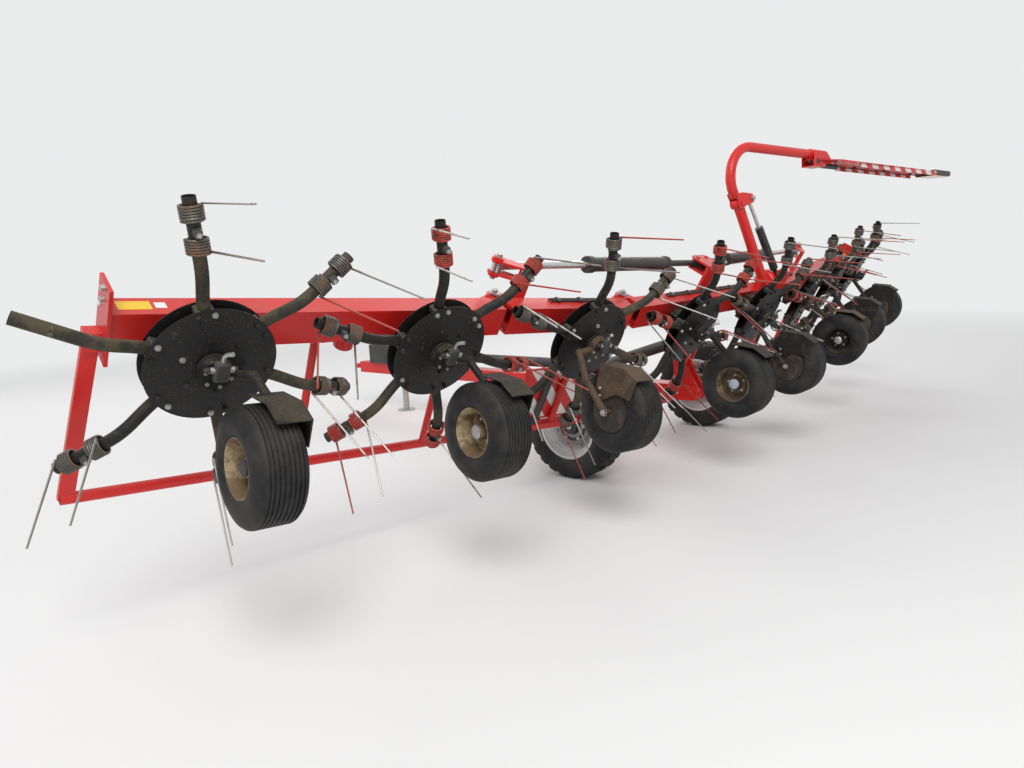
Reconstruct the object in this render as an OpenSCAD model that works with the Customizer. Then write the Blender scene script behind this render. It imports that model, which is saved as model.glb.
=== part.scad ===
// Eight-rotor trailed hay tedder. Its row is raised over a wheeled carrier that is parked on a jack.
// Machine frame: +X to the right along the row, +Y towards the hitch, +Z up, floor at Z = 0.
// Row frame: the row as it lies in work, x along the row, y forward, z up, z = 0 on the rotor discs.

/* [Row of rotors] */
// Distance between neighbouring rotor shafts
spacing = 1070; // [1045:5:1120]
// Lean of the rotor discs in the stored pose, in degrees
raise = 59.5; // [52:0.5:62]
// Upward set of each wing in the stored pose, in degrees
wing_set = 7.8; // [4:0.2:12]
// Height of the middle rotor discs in the stored pose
row_z = 1040; // [1000:5:1120]
// Distance of the middle rotor discs behind the part's origin
row_back = 1948.4; // [1900:0.1:2200]
// Distance of the row's middle from the part's origin, to the right
mid_x = -38.7; // [-60:0.1:60]

/* [Rotors] */
// Diameter of the two clamping discs
disc_d = 500; // [440:5:540]
// Thickness of each disc
disc_t = 4; // [4:1:8]
// Distance between the two discs
disc_gap = 62; // [58:1:70]
// Diameter of the fixed spindle that a rotor turns on
spindle_d = 60; // [50:1:70]
// Diameter of a rotor arm tube
arm_d = 48; // [40:1:54]
// Wall of a rotor arm tube
arm_wall = 3.5; // [3:0.5:6]
// Radius of a rotor at its arms' ends
arm_tip_r = 672; // [665:1:680]
// Radius of the inner coil's middle
coil_in_r = 505; // [495:1:510]
// Radius of the outer coil's middle
coil_out_r = 620; // [610:1:628]
// Diameter over a tine coil
coil_d = 86; // [78:1:92]
// Length of a tine coil
coil_len = 64; // [50:2:70]
// Diameter of the tine wire
wire_d = 9.5; // [8:0.5:12]
// Length of a tine's straight leg
tine_len = 395; // [340:5:410]

/* [Beams] */
// Width of a row beam, across the row
beam_w = 160; // [140:2:170]
// Height of a row beam
beam_t = 120; // [100:2:130]
// Wall of a row beam
beam_wall = 6; // [4:0.5:10]
// Height of the beams' underside over the discs
beam_low = 150; // [140:2:156]
// Diameter of the folding pins
pin_d = 40; // [30:1:46]
// Length of the outer beam past the last rotor shaft
beam_end = 330; // [300:5:360]

/* [Gauge wheels] */
// Diameter of a gauge tyre
gauge_d = 457; // [440:1:470]
// Width of a gauge tyre
gauge_w = 208; // [190:2:214]
// Height of the discs over a gauge wheel's axle
gauge_drop = 445; // [435:1:460]
// Distance of a gauge wheel's axle ahead of the rotor shaft
gauge_ahead = 168; // [150:1:190]
// Sideways offset of a gauge tyre from the rotor shaft
gauge_side = 62; // [50:1:68]
// Diameter of a wheel leg's tube
leg_d = 38; // [32:1:42]
// Diameter of a gauge wheel's axle
gauge_axle_d = 30; // [24:1:36]

/* [Carrier] */
// Diameter of a transport tyre
tyre_d = 760; // [720:2:780]
// Width of a transport tyre
tyre_w = 260; // [230:2:270]
// Bead diameter of a transport rim
rim_d = 430; // [400:2:440]
// Distance between the middles of the two transport tyres
track = 1908; // [1880:2:1960]
// Distance of the axle ahead of the middle rotor discs
axle_ahead = 711; // [700:1:760]
// Diameter of the stub axles
stub_d = 50; // [40:1:60]
// Side of the axle beam
axle_w = 100; // [90:1:110]
// Width of the spine tube
spine_w = 150; // [140:2:170]
// Height of the spine tube
spine_h = 120; // [110:2:130]
// Wall of the spine tube
spine_wall = 16; // [8:0.5:18]
// Distance of the hitch eye ahead of the axle
hitch_reach = 3800; // [3600:10:4000]
// Distance of the lift pivot ahead of the middle rotor discs
lift_ahead = 260; // [250:1:275]
// Height of the lift pivot
lift_z = 490; // [480:1:496]

/* [Guard rails] */
// Diameter of a guard rail's tube
rail_d = 50; // [40:1:56]
// Distance of a guard rail ahead of the rotor shafts
rail_y = 745; // [740:1:790]
// Height of a guard rail over the discs
rail_z = 150; // [144:1:170]

/* [Lamp boom] */
// Diameter of the gooseneck pipe
boom_d = 76; // [70:1:80]
// Wall of the gooseneck pipe
boom_wall = 5; // [3:0.5:8]
// Bend radius of the gooseneck's middle line
bend_r = 230; // [215:1:234]
// Height of the gooseneck's top run
boom_top = 2330; // [2322:1:2360]
// Turn of the boom's plane from the row, in degrees
boom_turn = -12; // [-14:0.5:-10]
// Length of the lamp carrier
carrier_len = 1850; // [1700:10:2000]

/* [Hidden] */

// Sides and colours
LEFT = -1;
RIGHT = 1;
red = [0.78, 0.05, 0.05];
black = [0.09, 0.09, 0.10];
olive = [0.27, 0.24, 0.17];
cast = [0.45, 0.42, 0.36];
rubber = [0.07, 0.07, 0.08];
steel = [0.75, 0.75, 0.75];

// Fits
slack = 0.05;   // radial clearance of a running pin or shaft
seat = 0.3;     // gap between two pieces that rest on each other
side_gap = 1.5; // gap beside a lug on its pin
round_n = 48;

// Rotor table: side, station counted outward from the middle, arm angle from outward, wheel leg side
SIDE = 0;
STATION = 1;
PHASE = 2;
LEG = 3;
ROTORS = [
  [LEFT, 3, 43, -1], [LEFT, 2, 47, -1], [LEFT, 1, 43, 1], [LEFT, 0, 47, -1],
  [RIGHT, 0, 17, -1], [RIGHT, 1, 13, 1], [RIGHT, 2, 17, -1], [RIGHT, 3, 13, -1]];
arms = 6;
bare_rotor = 1; // the rotor that lost the coils and tines of one arm
bare_arm = 5;

// Derived places
row_y = -row_back;
beam_y = -0.75 * beam_w;
beam_front = beam_y + beam_w;
beam_top = beam_low + beam_t;
beam_mid = beam_low + beam_t / 2;
pin_z = beam_top + 40;
hinge_c = spacing;
hinge_b = 2 * spacing;
hinge_cut = 25;
axle_y = row_y + axle_ahead;
axle_z = tyre_d / 2;
axle_end = track / 2 - tyre_w / 2 - 45;
spine_z = axle_z + axle_w / 2;
spine_top = spine_z + spine_h;
lift_y = row_y + lift_ahead;
spine_back = lift_y + 150;
hitch_y = axle_y + hitch_reach;
hitch_z = spine_z + spine_h / 2;
function rotor_u(k) = (k + 0.5) * spacing;

// Frames
module at_middle() translate([mid_x, 0, 0]) children();
module on_side(s) mirror([s < 0 ? 1 : 0, 0, 0]) children();
module at_row() at_middle() translate([0, row_y, row_z]) rotate([-raise, 0, 0]) children();
module at_centre(s) at_row() on_side(s) children();
module at_wing(s) at_centre(s) translate([hinge_c, 0, pin_z]) rotate([0, -wing_set, 0])
  translate([-hinge_c, 0, -pin_z]) children();
module at_station(s, k) {
  if (k == 0) at_centre(s) translate([rotor_u(k), 0, 0]) children();
  else at_wing(s) translate([rotor_u(k), 0, 0]) children();
}
// A point of the machine's side view, from the middle discs, in row coordinates
function to_row(y, z) = [y * cos(raise) - z * sin(raise), y * sin(raise) + z * cos(raise)];
// A point of a wing's front view in centre coordinates
function wing_point(u, z) = [
  hinge_c + (u - hinge_c) * cos(wing_set) - (z - pin_z) * sin(wing_set),
  pin_z + (u - hinge_c) * sin(wing_set) + (z - pin_z) * cos(wing_set)];

// Basic forms
module along(a, b) {
  v = b - a;
  translate(a) rotate([0, acos(v.z / norm(v)), atan2(v.y, v.x)]) children();
}
module bar(a, b, d) along(a, b) cylinder(h = norm(b - a), d = d, $fn = round_n);
module flat_bar(a, b, thick, wide) along(a, b)
  translate([-thick / 2, -wide / 2, 0]) cube([thick, wide, norm(b - a)]);
// Round bars that meet in balls a little thicker than they are
module bent_bar(points, d) {
  for (i = [0 : len(points) - 2]) bar(points[i], points[i + 1], d);
  for (i = [1 : len(points) - 2]) translate(points[i]) sphere(d = d + 6, $fn = round_n);
}
module pin_x(y, z, d, length) translate([0, y, z]) rotate([0, 90, 0])
  cylinder(h = length, d = d, center = true, $fn = round_n);
module pin_y(x, y0, y1, z, d) translate([x, y1, z]) rotate([90, 0, 0])
  cylinder(h = y1 - y0, d = d, $fn = round_n);
// A plate across y that stands on the outline in x and z
module plate_xz(y0, t) translate([0, y0 + t, 0]) rotate([90, 0, 0]) linear_extrude(t) children();
// A plate across x that stands on the outline in y and z
module plate_yz(x0, t) translate([x0, 0, 0]) rotate([90, 0, 90]) linear_extrude(t) children();
module box_x(x0, x1, y, z, w, h, wall) difference() {
  translate([x0, y, z]) cube([x1 - x0, w, h]);
  translate([x0 - 1, y + wall, z + wall]) cube([x1 - x0 + 2, w - 2 * wall, h - 2 * wall]);
}
module box_y(y0, y1, x, z, w, h, wall) difference() {
  translate([x, y0, z]) cube([w, y1 - y0, h]);
  translate([x + wall, y0 - 1, z + wall]) cube([w - 2 * wall, y1 - y0 + 2, h - 2 * wall]);
}

// Wheels, turning about X, centred on the origin
module tyre(d, w, bead_d, lip, wall) {
  r = d / 2;
  b = bead_d / 2;
  h = 0.40 * w;
  rotate([0, 90, 0]) rotate_extrude($fn = 96) difference() {
    polygon([[b, -h], [b + lip, -h], [r - 0.30 * w, -0.5 * w], [r - 0.12 * w, -0.47 * w], [r, -0.34 * w],
      [r, 0.34 * w], [r - 0.12 * w, 0.47 * w], [r - 0.30 * w, 0.5 * w], [b + lip, h], [b, h]]);
    polygon([[b - 1, wall - h], [b + lip, wall - h], [r - 0.30 * w, wall - 0.5 * w], [r - wall, -0.30 * w],
      [r - wall, 0.30 * w], [r - 0.30 * w, 0.5 * w - wall], [b + lip, h - wall], [b - 1, h - wall]]);
  }
}
module rim(w, bead_d, lip, t, bore, hub_d, hub_len) {
  b = bead_d / 2 - seat;
  h = 0.40 * w + seat;
  rotate([0, 90, 0]) rotate_extrude($fn = 96) {
    translate([b - t, -h - t]) square([t, 2 * (h + t)]);
    for (y = [-h - t, h]) translate([b - t, y]) square([t + lip - 1, t]);
    translate([hub_d / 2 - 1, -t / 2]) square([b - t - hub_d / 2 + 2, t]);
    translate([bore / 2, -hub_len / 2]) square([(hub_d - bore) / 2, hub_len]);
  }
}

// Carrier
lift_pin_d = 50;
ear_x = 61;
frame_x = 35;
ram_base_y = row_y + 1250;
ram_base_z = spine_top + 60;
ram_pin_d = 32;
ram_half = 30;
module axle_beam() color(red) at_middle() difference() {
  union() {
    box_x(-axle_end + 13, axle_end - 13, axle_y - axle_w / 2, axle_z - axle_w / 2, axle_w, axle_w, 8);
    for (s = [LEFT, RIGHT]) on_side(s)
      translate([axle_end - 14, axle_y - 0.75 * axle_w, axle_z - 0.75 * axle_w]) cube([14, 1.5 * axle_w, 1.5 * axle_w]);
  }
  pin_x(axle_y, axle_z, stub_d + 2 * slack, 2 * axle_end + 10);
}
module stub_axles() color(steel) at_middle() for (s = [LEFT, RIGHT]) on_side(s) {
  bar([axle_end - 160, axle_y, axle_z], [track / 2 + 82, axle_y, axle_z], stub_d);
  bar([axle_end + seat, axle_y, axle_z], [track / 2 - 78, axle_y, axle_z], stub_d + 30);
}
module spine() color(red) at_middle() {
  box_y(spine_back, hitch_y - 129, -spine_w / 2, spine_z, spine_w, spine_h, spine_wall);
  translate([-spine_w / 2, hitch_y - 130, spine_z]) cube([spine_w, 20, spine_h]);
  for (s = [LEFT, RIGHT]) on_side(s) {
    plate_yz(ear_x, 18) polygon([[lift_y - 30, lift_z - 55], [lift_y + 30, lift_z - 60], [spine_back + 60, spine_z],
      [spine_back + 60, spine_top - 4], [lift_y - 20, spine_top - 4], [lift_y - 50, lift_z + 25], [lift_y - 50, lift_z - 25]]);
    plate_yz(ram_half + 5, 16) polygon([[ram_base_y - 60, spine_top - 2], [ram_base_y + 60, spine_top - 2],
      [ram_base_y + 35, ram_base_z + 25], [ram_base_y + 20, ram_base_z + 35], [ram_base_y - 20, ram_base_z + 35],
      [ram_base_y - 35, ram_base_z + 25]]);
    translate([spine_w / 2 - 1, axle_y - 80, spine_z + seat]) cube([90, 160, 12]);
    translate([spine_w / 2 - 1, axle_y - 6, spine_z + 2]) cube([60, 12, spine_h - 20]);
  }
  pin_x(lift_y, lift_z, lift_pin_d, 2 * ear_x + 50);
  pin_x(ram_base_y, ram_base_z, ram_pin_d, 2 * ram_half + 60);
}
eye_bore = 50;
eye_t = 44;
module hitch_eye() color(red) at_middle() difference() {
  union() {
    translate([0, hitch_y, hitch_z]) cylinder(h = eye_t, d = 116, center = true, $fn = round_n);
    translate([-34, hitch_y - 110 + seat, hitch_z - eye_t / 2]) cube([68, 90, eye_t]);
  }
  translate([0, hitch_y, hitch_z]) cylinder(h = eye_t + 2, d = eye_bore, center = true, $fn = round_n);
}
drive_z = spine_top + 100;
drive_d = 90;
stub_shaft_d = 35;
drive_back = ram_base_y + 160;
drive_front = hitch_y - 330;
module drive_line() color(black) at_middle() {
  bar([0, drive_back, drive_z], [0, drive_front, drive_z], drive_d);
  bar([0, drive_front - 1, drive_z], [0, drive_front + 90, drive_z], stub_shaft_d);
  translate([-118, drive_front - 380, spine_top + seat]) cube([190, 360, 2 * (drive_z - spine_top)]);
  for (y = [drive_back + 150, drive_front - 900]) difference() {
    translate([-60, y, spine_top + seat]) cube([120, 24, drive_z - spine_top + 20]);
    translate([-48, y - 1, spine_top + 12]) cube([96, 26, drive_z - spine_top - 62]);
  }
}
jack_y = hitch_y - 620;
jack_d = 80;
jack_leg_d = 66;
jack_x = spine_w / 2 + jack_d / 2 + 14;
jack_low = 330;
jack_top = 960;
jack_stroke = 340;
module jack_tube() color(black) at_middle() {
  difference() {
    union() {
      translate([jack_x, jack_y, jack_low]) cylinder(h = jack_top - jack_low, d = jack_d, $fn = round_n);
      translate([spine_w / 2 + seat, jack_y - 60, spine_z + 10]) cube([jack_x - spine_w / 2, 120, spine_h - 20]);
    }
    translate([jack_x, jack_y, jack_low - 1]) cylinder(h = jack_top - jack_low - 20, d = jack_leg_d + 2 * slack, $fn = round_n);
  }
  translate([jack_x, jack_y, jack_top - 1]) cylinder(h = 40, d = 34, $fn = round_n);
  bar([jack_x, jack_y, jack_top + 26], [jack_x + 150, jack_y, jack_top + 26], 16);
  bar([jack_x + 142, jack_y, jack_top + 20], [jack_x + 142, jack_y, jack_top + 110], 16);
}
module jack_leg() color(steel) at_middle() {
  translate([jack_x, jack_y, 10]) difference() {
    cylinder(h = jack_top - jack_stroke - 70, d = jack_leg_d, $fn = round_n);
    translate([0, 0, 6]) cylinder(h = jack_top, d = jack_leg_d - 12, $fn = round_n);
  }
  translate([jack_x, jack_y, 0]) cylinder(h = 12, d = 190, $fn = round_n);
}
module transport_tyre(s) color(rubber) at_middle() translate([s * track / 2, axle_y, axle_z])
  tyre(tyre_d, tyre_w, rim_d, 24, 15);
module transport_rim(s) color(steel) at_middle() translate([s * track / 2, axle_y, axle_z])
  rim(tyre_w, rim_d, 22, 7, stub_d + 2 * slack, 140, 150);
module transport_tyre_left() transport_tyre(LEFT);
module transport_rim_left() transport_rim(LEFT);
module transport_tyre_right() transport_tyre(RIGHT);
module transport_rim_right() transport_rim(RIGHT);

// Cylinders, drawn along X from the pin of the barrel
module ram_barrel(length, d, rod, hollow, eye_w, eye_d, pin, neck) difference() {
  union() {
    pin_y(0, -eye_w / 2, eye_w / 2, 0, eye_d);
    bar([0, 0, 0], [neck + 1, 0, 0], rod);
    bar([neck, 0, 0], [length, 0, 0], d);
  }
  pin_y(0, -eye_w / 2 - 1, eye_w / 2 + 1, 0, pin + 2 * slack);
  bar([hollow, 0, 0], [length - 35, 0, 0], d - 16);
  bar([length - 36, 0, 0], [length + 1, 0, 0], rod + 2 * slack);
}
module ram_rod(from, to, rod, eye_w, eye_d, pin) difference() {
  union() {
    bar([from, 0, 0], [to, 0, 0], rod);
    pin_y(to, -eye_w / 2, eye_w / 2, 0, eye_d);
  }
  pin_y(to, -eye_w / 2 - 1, eye_w / 2 + 1, 0, pin);
}

// Lift frame and its cylinder
lift_at = to_row(lift_ahead, lift_z - row_z);
ram_eye_y = 385;
ram_eye_z = 885;
ram_at = to_row(ram_eye_y, ram_eye_z - row_z);
module lift_frame() color(red) at_row() for (s = [LEFT, RIGHT]) on_side(s) {
  difference() {
    plate_yz(frame_x, 20) polygon([[beam_front + seat, beam_low + 6], [beam_front + seat, beam_top - 6],
      [ram_at[0] - 60, ram_at[1] + 30], [ram_at[0] - 20, ram_at[1] + 48], [ram_at[0] + 25, ram_at[1] + 46],
      [ram_at[0] + 60, ram_at[1] + 20], [lift_at[0] + 10, 120], [lift_at[0] + 56, lift_at[1] + 28],
      [lift_at[0] + 56, lift_at[1] - 28], [lift_at[0] + 28, lift_at[1] - 58], [lift_at[0] - 28, lift_at[1] - 58],
      [lift_at[0] - 56, lift_at[1] - 8], [lift_at[0] - 155, 108]]);
    pin_x(lift_at[0], lift_at[1], lift_pin_d + 2 * slack, 300);
  }
  translate([frame_x + 19, 0, 0]) pin_x(ram_at[0], ram_at[1], 56, 14);
}
lift_run = [ram_eye_y + row_y - ram_base_y, ram_eye_z - ram_base_z];
lift_len = norm(lift_run);
module at_lift_ram() at_middle() translate([0, ram_base_y, ram_base_z])
  rotate([-atan2(lift_run[1], -lift_run[0]), 0, 0]) rotate([0, 0, -90]) children();
module lift_barrel() color(black) at_lift_ram()
  ram_barrel(lift_len - 140, 90, 45, 100, 2 * ram_half, 76, ram_pin_d, 58);
module lift_rod() color(steel) at_lift_ram()
  ram_rod(lift_len - 560, lift_len, 45, 2 * frame_x - 16, 76, ram_pin_d);

// Beams and folding hinges
fork_t = 18;
fork_in = beam_y + 2;
fork_out = beam_front - 2 - fork_t;
lug_r = 42;
// The fork is the inner half of a folding hinge, with its pin
module fork(u) {
  for (y = [fork_in, fork_out]) plate_xz(y, fork_t) {
    polygon([[u - 150, beam_low + 20], [u - hinge_cut, beam_low + 20], [u - hinge_cut, beam_top],
      [u + 0.5 * lug_r, pin_z - 0.86 * lug_r], [u, pin_z + lug_r], [u - 60, pin_z + lug_r - 10]]);
    translate([u, pin_z]) circle(r = lug_r, $fn = round_n);
  }
  pin_y(u, fork_in - 8, fork_out + fork_t + 8, pin_z, pin_d);
}
module tongue(u) difference() {
  for (y = [fork_in + fork_t + side_gap, fork_out - fork_t - side_gap]) plate_xz(y, fork_t) {
    polygon([[u + hinge_cut, beam_top - 2], [u + 170, beam_top - 2], [u + 150, beam_top + 12],
      [u + 10, pin_z + lug_r - 1], [u, pin_z]]);
    translate([u, pin_z]) circle(r = lug_r, $fn = round_n);
  }
  pin_y(u, fork_in, fork_out + fork_t, pin_z, pin_d + 2 * slack);
}
module beam(u0, u1) box_x(u0, u1, beam_y, beam_low, beam_w, beam_t, beam_wall);
module centre_beam() color(red) {
  at_row() beam(-hinge_c + hinge_cut, hinge_c - hinge_cut);
  for (s = [LEFT, RIGHT]) at_centre(s) fork(hinge_c);
}
link_u = hinge_b;
link_z = 370;
ram_y = -260;
ram_lug_t = 14;
ram_lug_gap = 58;
ram_back = ram_y - ram_lug_gap / 2 - ram_lug_t;
ram_front = ram_y + ram_lug_gap / 2 + ram_lug_t;
// The two lugs that hold an eye of a folding cylinder
module ram_lugs() for (y = [ram_back, ram_front - ram_lug_t]) plate_xz(y, ram_lug_t) children();
module inner_beam(s) color(red) at_wing(s) {
  beam(hinge_c + hinge_cut, hinge_b - hinge_cut);
  tongue(hinge_c);
  fork(hinge_b);
  translate([link_u - 190, ram_back, beam_top - 1]) cube([90, beam_y - ram_back + 60, 21]);
  ram_lugs() {
    polygon([[link_u - 190, beam_top], [link_u - 100, beam_top], [link_u + 30, link_z - 20], [link_u, link_z + 38],
      [link_u - 45, link_z + 28]]);
    translate([link_u, link_z]) circle(r = 38, $fn = round_n);
  }
  for (y = [ram_back - 12, ram_front]) pin_y(link_u, y - 0.1, y + 12.1, link_z, 62);
}
end_plate_u = rotor_u(3) + beam_end - 14;
boss_u = rotor_u(2) + 375;
module outer_beam(s) color(red) at_wing(s) {
  beam(hinge_b + hinge_cut, end_plate_u);
  tongue(hinge_b);
  translate([end_plate_u - 1, beam_y - 100, beam_low - 12]) cube([14, beam_w + 160, beam_t + 24]);
  pin_y(boss_u, beam_front - 1, beam_front + 62, beam_mid, 92);
}
module inner_beam_left() inner_beam(LEFT);
module inner_beam_right() inner_beam(RIGHT);
module outer_beam_left() outer_beam(LEFT);
module outer_beam_right() outer_beam(RIGHT);

// Folding cylinders, from the bracket on the middle beam to the link plates near the outer hinge
fold_pin_u = 60;
fold_pin_z = 405;
fold_pin_d = 30;
link_at = wing_point(link_u, link_z);
fold_run = [link_at[0] - fold_pin_u, link_at[1] - fold_pin_z];
fold_len = norm(fold_run);
module fold_bracket() color(red) at_row() {
  translate([-110, ram_back, beam_top + seat]) cube([220, beam_front - ram_back, 20]);
  ram_lugs() polygon([[-110, beam_top + 10], [110, beam_top + 10], [110, fold_pin_z + 10], [85, fold_pin_z + 38],
    [-85, fold_pin_z + 38], [-110, fold_pin_z + 10]]);
  for (u = [-fold_pin_u, fold_pin_u]) pin_y(u, ram_back - 8, ram_front + 8, fold_pin_z, fold_pin_d);
}
module at_fold_ram(s) at_centre(s) translate([fold_pin_u, ram_y, fold_pin_z])
  rotate([0, -atan2(fold_run[1], fold_run[0]), 0]) children();
fold_eye_w = ram_lug_gap - 2 * side_gap;
module fold_barrel(s) color(black) at_fold_ram(s)
  ram_barrel(1285, 92, 45, 440, fold_eye_w, 68, fold_pin_d, 400);
module fold_rod(s) color(steel) at_fold_ram(s)
  ram_rod(fold_len - 890, fold_len, 45, fold_eye_w - 8, 68, fold_pin_d);
module fold_barrel_left() fold_barrel(LEFT);
module fold_barrel_right() fold_barrel(RIGHT);
module fold_rod_left() fold_rod(LEFT);
module fold_rod_right() fold_rod(RIGHT);

// Gear housing, spindle, wheel leg, wheel axle and crop plate of one rotor, its leg on the +x side
neck_low = 50;
leg_x = gauge_side + gauge_w / 2 + leg_d / 2 + 11;
module support() {
  translate([0, 0, 92]) cylinder(h = beam_low - seat - 92, d = 176, $fn = round_n);
  translate([0, 0, neck_low]) cylinder(h = 43, d = 122, $fn = round_n);
  translate([0, 0, -96]) cylinder(h = neck_low + 97, d = spindle_d, $fn = round_n);
  translate([0, 0, -104]) cylinder(h = 40, d = 132, $fn = round_n);
  bent_bar([[0, 0, -84], [leg_x - 50, 24, -88], [leg_x, 96, -250], [leg_x, gauge_ahead, -gauge_drop]], leg_d);
  translate([0, gauge_ahead, -gauge_drop]) {
    bar([gauge_side - 70, 0, 0], [leg_x + leg_d / 2, 0, 0], gauge_axle_d);
    bar([gauge_side + 0.4 * gauge_w + 11, 0, 0], [gauge_side + 0.4 * gauge_w + 15, 0, 0], 190);
    crop_plate();
  }
}
module crop_plate() {
  r = gauge_d / 2;
  x = gauge_side + gauge_w / 2 + 6;
  top = [-0.86 * r, 0.74 * r];
  mid = [-r - 30, 0.1 * r];
  low = [-r - 22, -0.35 * r];
  plate_yz(x, 6) polygon([[-20, 70], [-44, 0.55 * r], top, mid, low, [-0.62 * r, -0.42 * r], [-0.50 * r, 0]]);
  for (p = [[top, mid], [mid, low]]) plate_yz(x - 0.62 * gauge_w, 0.62 * gauge_w + 6)
    polygon([p[0], p[1], p[1] - [5, 0], p[0] - [5, 0]]);
}
module support_at(i) {
  p = ROTORS[i - 1];
  at_station(p[SIDE], p[STATION]) mirror([p[LEG] < 0 ? 1 : 0, 0, 0]) support();
}
module supports_centre() color(olive) for (i = [4, 5]) support_at(i);
module supports_inner_left() color(olive) support_at(3);
module supports_inner_right() color(olive) support_at(6);
module supports_outer_left() color(olive) for (i = [1, 2]) support_at(i);
module supports_outer_right() color(olive) for (i = [7, 8]) support_at(i);

// Gauge wheels
module gauge_wheel(i) {
  p = ROTORS[i - 1];
  at_station(p[SIDE], p[STATION]) translate([p[LEG] * gauge_side, gauge_ahead, -gauge_drop]) {
    color(rubber) tyre(gauge_d, gauge_w, 203, 16, 8);
    color(cast) rim(gauge_w, 203, 14, 4, gauge_axle_d + 2 * slack, 74, 124);
  }
}
module gauge_wheel_1() gauge_wheel(1);
module gauge_wheel_2() gauge_wheel(2);
module gauge_wheel_3() gauge_wheel(3);
module gauge_wheel_4() gauge_wheel(4);
module gauge_wheel_5() gauge_wheel(5);
module gauge_wheel_6() gauge_wheel(6);
module gauge_wheel_7() gauge_wheel(7);
module gauge_wheel_8() gauge_wheel(8);

// Rotors
hub_low = -(disc_gap / 2 + disc_t + 10);
hub_high = disc_gap / 2 + disc_t + 5;
coil_wall = 5;
module coil() rotate_extrude($fn = round_n) polygon([[arm_d / 2 - 1, 0], [coil_d / 2, 0], [coil_d / 2, coil_len],
  [coil_d / 2 - coil_wall, coil_len], [coil_d / 2 - coil_wall, 5], [arm_d / 2 - 1, 5]]);
// A coil and its tine, hand is the side that the tine trails to
module coil_and_tine(r, hand) translate([r, 0, 0]) {
  rotate([0, 90, 0]) translate([0, 0, -coil_len / 2]) coil();
  root = [0, hand * (coil_d - coil_wall) / 2, 0];
  bar(root, root + tine_len * [0.33, hand * 0.19, -0.92], wire_d);
}
module arm(hand, bare) {
  difference() {
    bar([spindle_d / 2 + 10, 0, 0], [arm_tip_r, 0, 0], arm_d);
    bar([spindle_d / 2 + 9, 0, 0], [arm_tip_r + 1, 0, 0], arm_d - 2 * arm_wall);
  }
  if (!bare) for (r = [coil_in_r, coil_out_r]) coil_and_tine(r, hand);
}
module rotor(i) {
  p = ROTORS[i - 1];
  hand = i % 2 == 0 ? 1 : -1;
  at_station(p[SIDE], p[STATION]) difference() {
    union() {
      translate([0, 0, hub_low]) cylinder(h = hub_high - hub_low, d = spindle_d + 60, $fn = round_n);
      for (z = [disc_gap / 2, -disc_gap / 2 - disc_t]) translate([0, 0, z]) cylinder(h = disc_t, d = disc_d, $fn = 96);
      for (a = [0 : arms - 1]) rotate([0, 0, p[PHASE] + a * 360 / arms]) arm(hand, i == bare_rotor && a == bare_arm);
    }
    cylinder(h = 300, d = spindle_d + 2 * slack, center = true, $fn = round_n);
  }
}
module rotor_1() color(olive) rotor(1);
module rotor_2() color(olive) rotor(2);
module rotor_3() color(olive) rotor(3);
module rotor_4() color(olive) rotor(4);
module rotor_5() color(olive) rotor(5);
module rotor_6() color(olive) rotor(6);
module rotor_7() color(olive) rotor(7);
module rotor_8() color(olive) rotor(8);

// Guard rails of the outer sections
rail_wall = 4;
rail_in = hinge_b + 110;
rail_out = end_plate_u + 130;
module foot(u) translate([u - 40, beam_front + seat, beam_mid - 40]) cube([80, 14, 80]);
module guard_rail(s) color(red) at_wing(s) {
  difference() {
    bar([rail_in, rail_y, rail_z], [rail_out, rail_y, rail_z], rail_d);
    bar([rail_in - 1, rail_y, rail_z], [rail_out + 1, rail_y, rail_z], rail_d - 2 * rail_wall);
  }
  translate([end_plate_u + 13 + seat, beam_front - 60, beam_mid - 30]) cube([60, 80, 60]);
  flat_bar([end_plate_u + 45, beam_front - 20, beam_mid], [rail_out - 20, rail_y, rail_z], 24, 60);
  for (u = [hinge_b + 310, rotor_u(2) + 525]) {
    foot(u);
    bar([u, beam_front + 8, beam_mid], [u - 20, rail_y, rail_z], 38);
  }
}
module guard_rail_left() guard_rail(LEFT);
module guard_rail_right() guard_rail(RIGHT);

// Low plate, its two struts and the striped board of the inner sections
board_u = hinge_c + 160;
board_w = 530;
board_len = 370;
strut_d = 44;
plate_u = hinge_c + 80;
strut_fall = atan2(beam_mid - rail_z, rail_y - beam_front);
module marker_board(s) at_wing(s) {
  color(red) translate([plate_u, rail_y - 25, rail_z - 22]) {
    cube([500, 50, 8]);
    cube([500, 8, 44]);
  }
  color(red) bar([hinge_c + 350, beam_front + 8, beam_mid], [hinge_c + 355, rail_y, rail_z], strut_d);
  color(black) bar([hinge_c + 470, beam_front + 8, beam_mid], [hinge_c + 510, rail_y, rail_z], strut_d);
  color(red) for (u = [hinge_c + 350, hinge_c + 470]) foot(u);
  color("white") translate([board_u, beam_front, beam_mid]) rotate([-strut_fall, 0, 0])
    translate([0, 300, strut_d / 2 - 0.5]) cube([board_w, board_len, 6]);
}
module marker_board_left() marker_board(LEFT);
module marker_board_right() marker_board(RIGHT);

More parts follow.
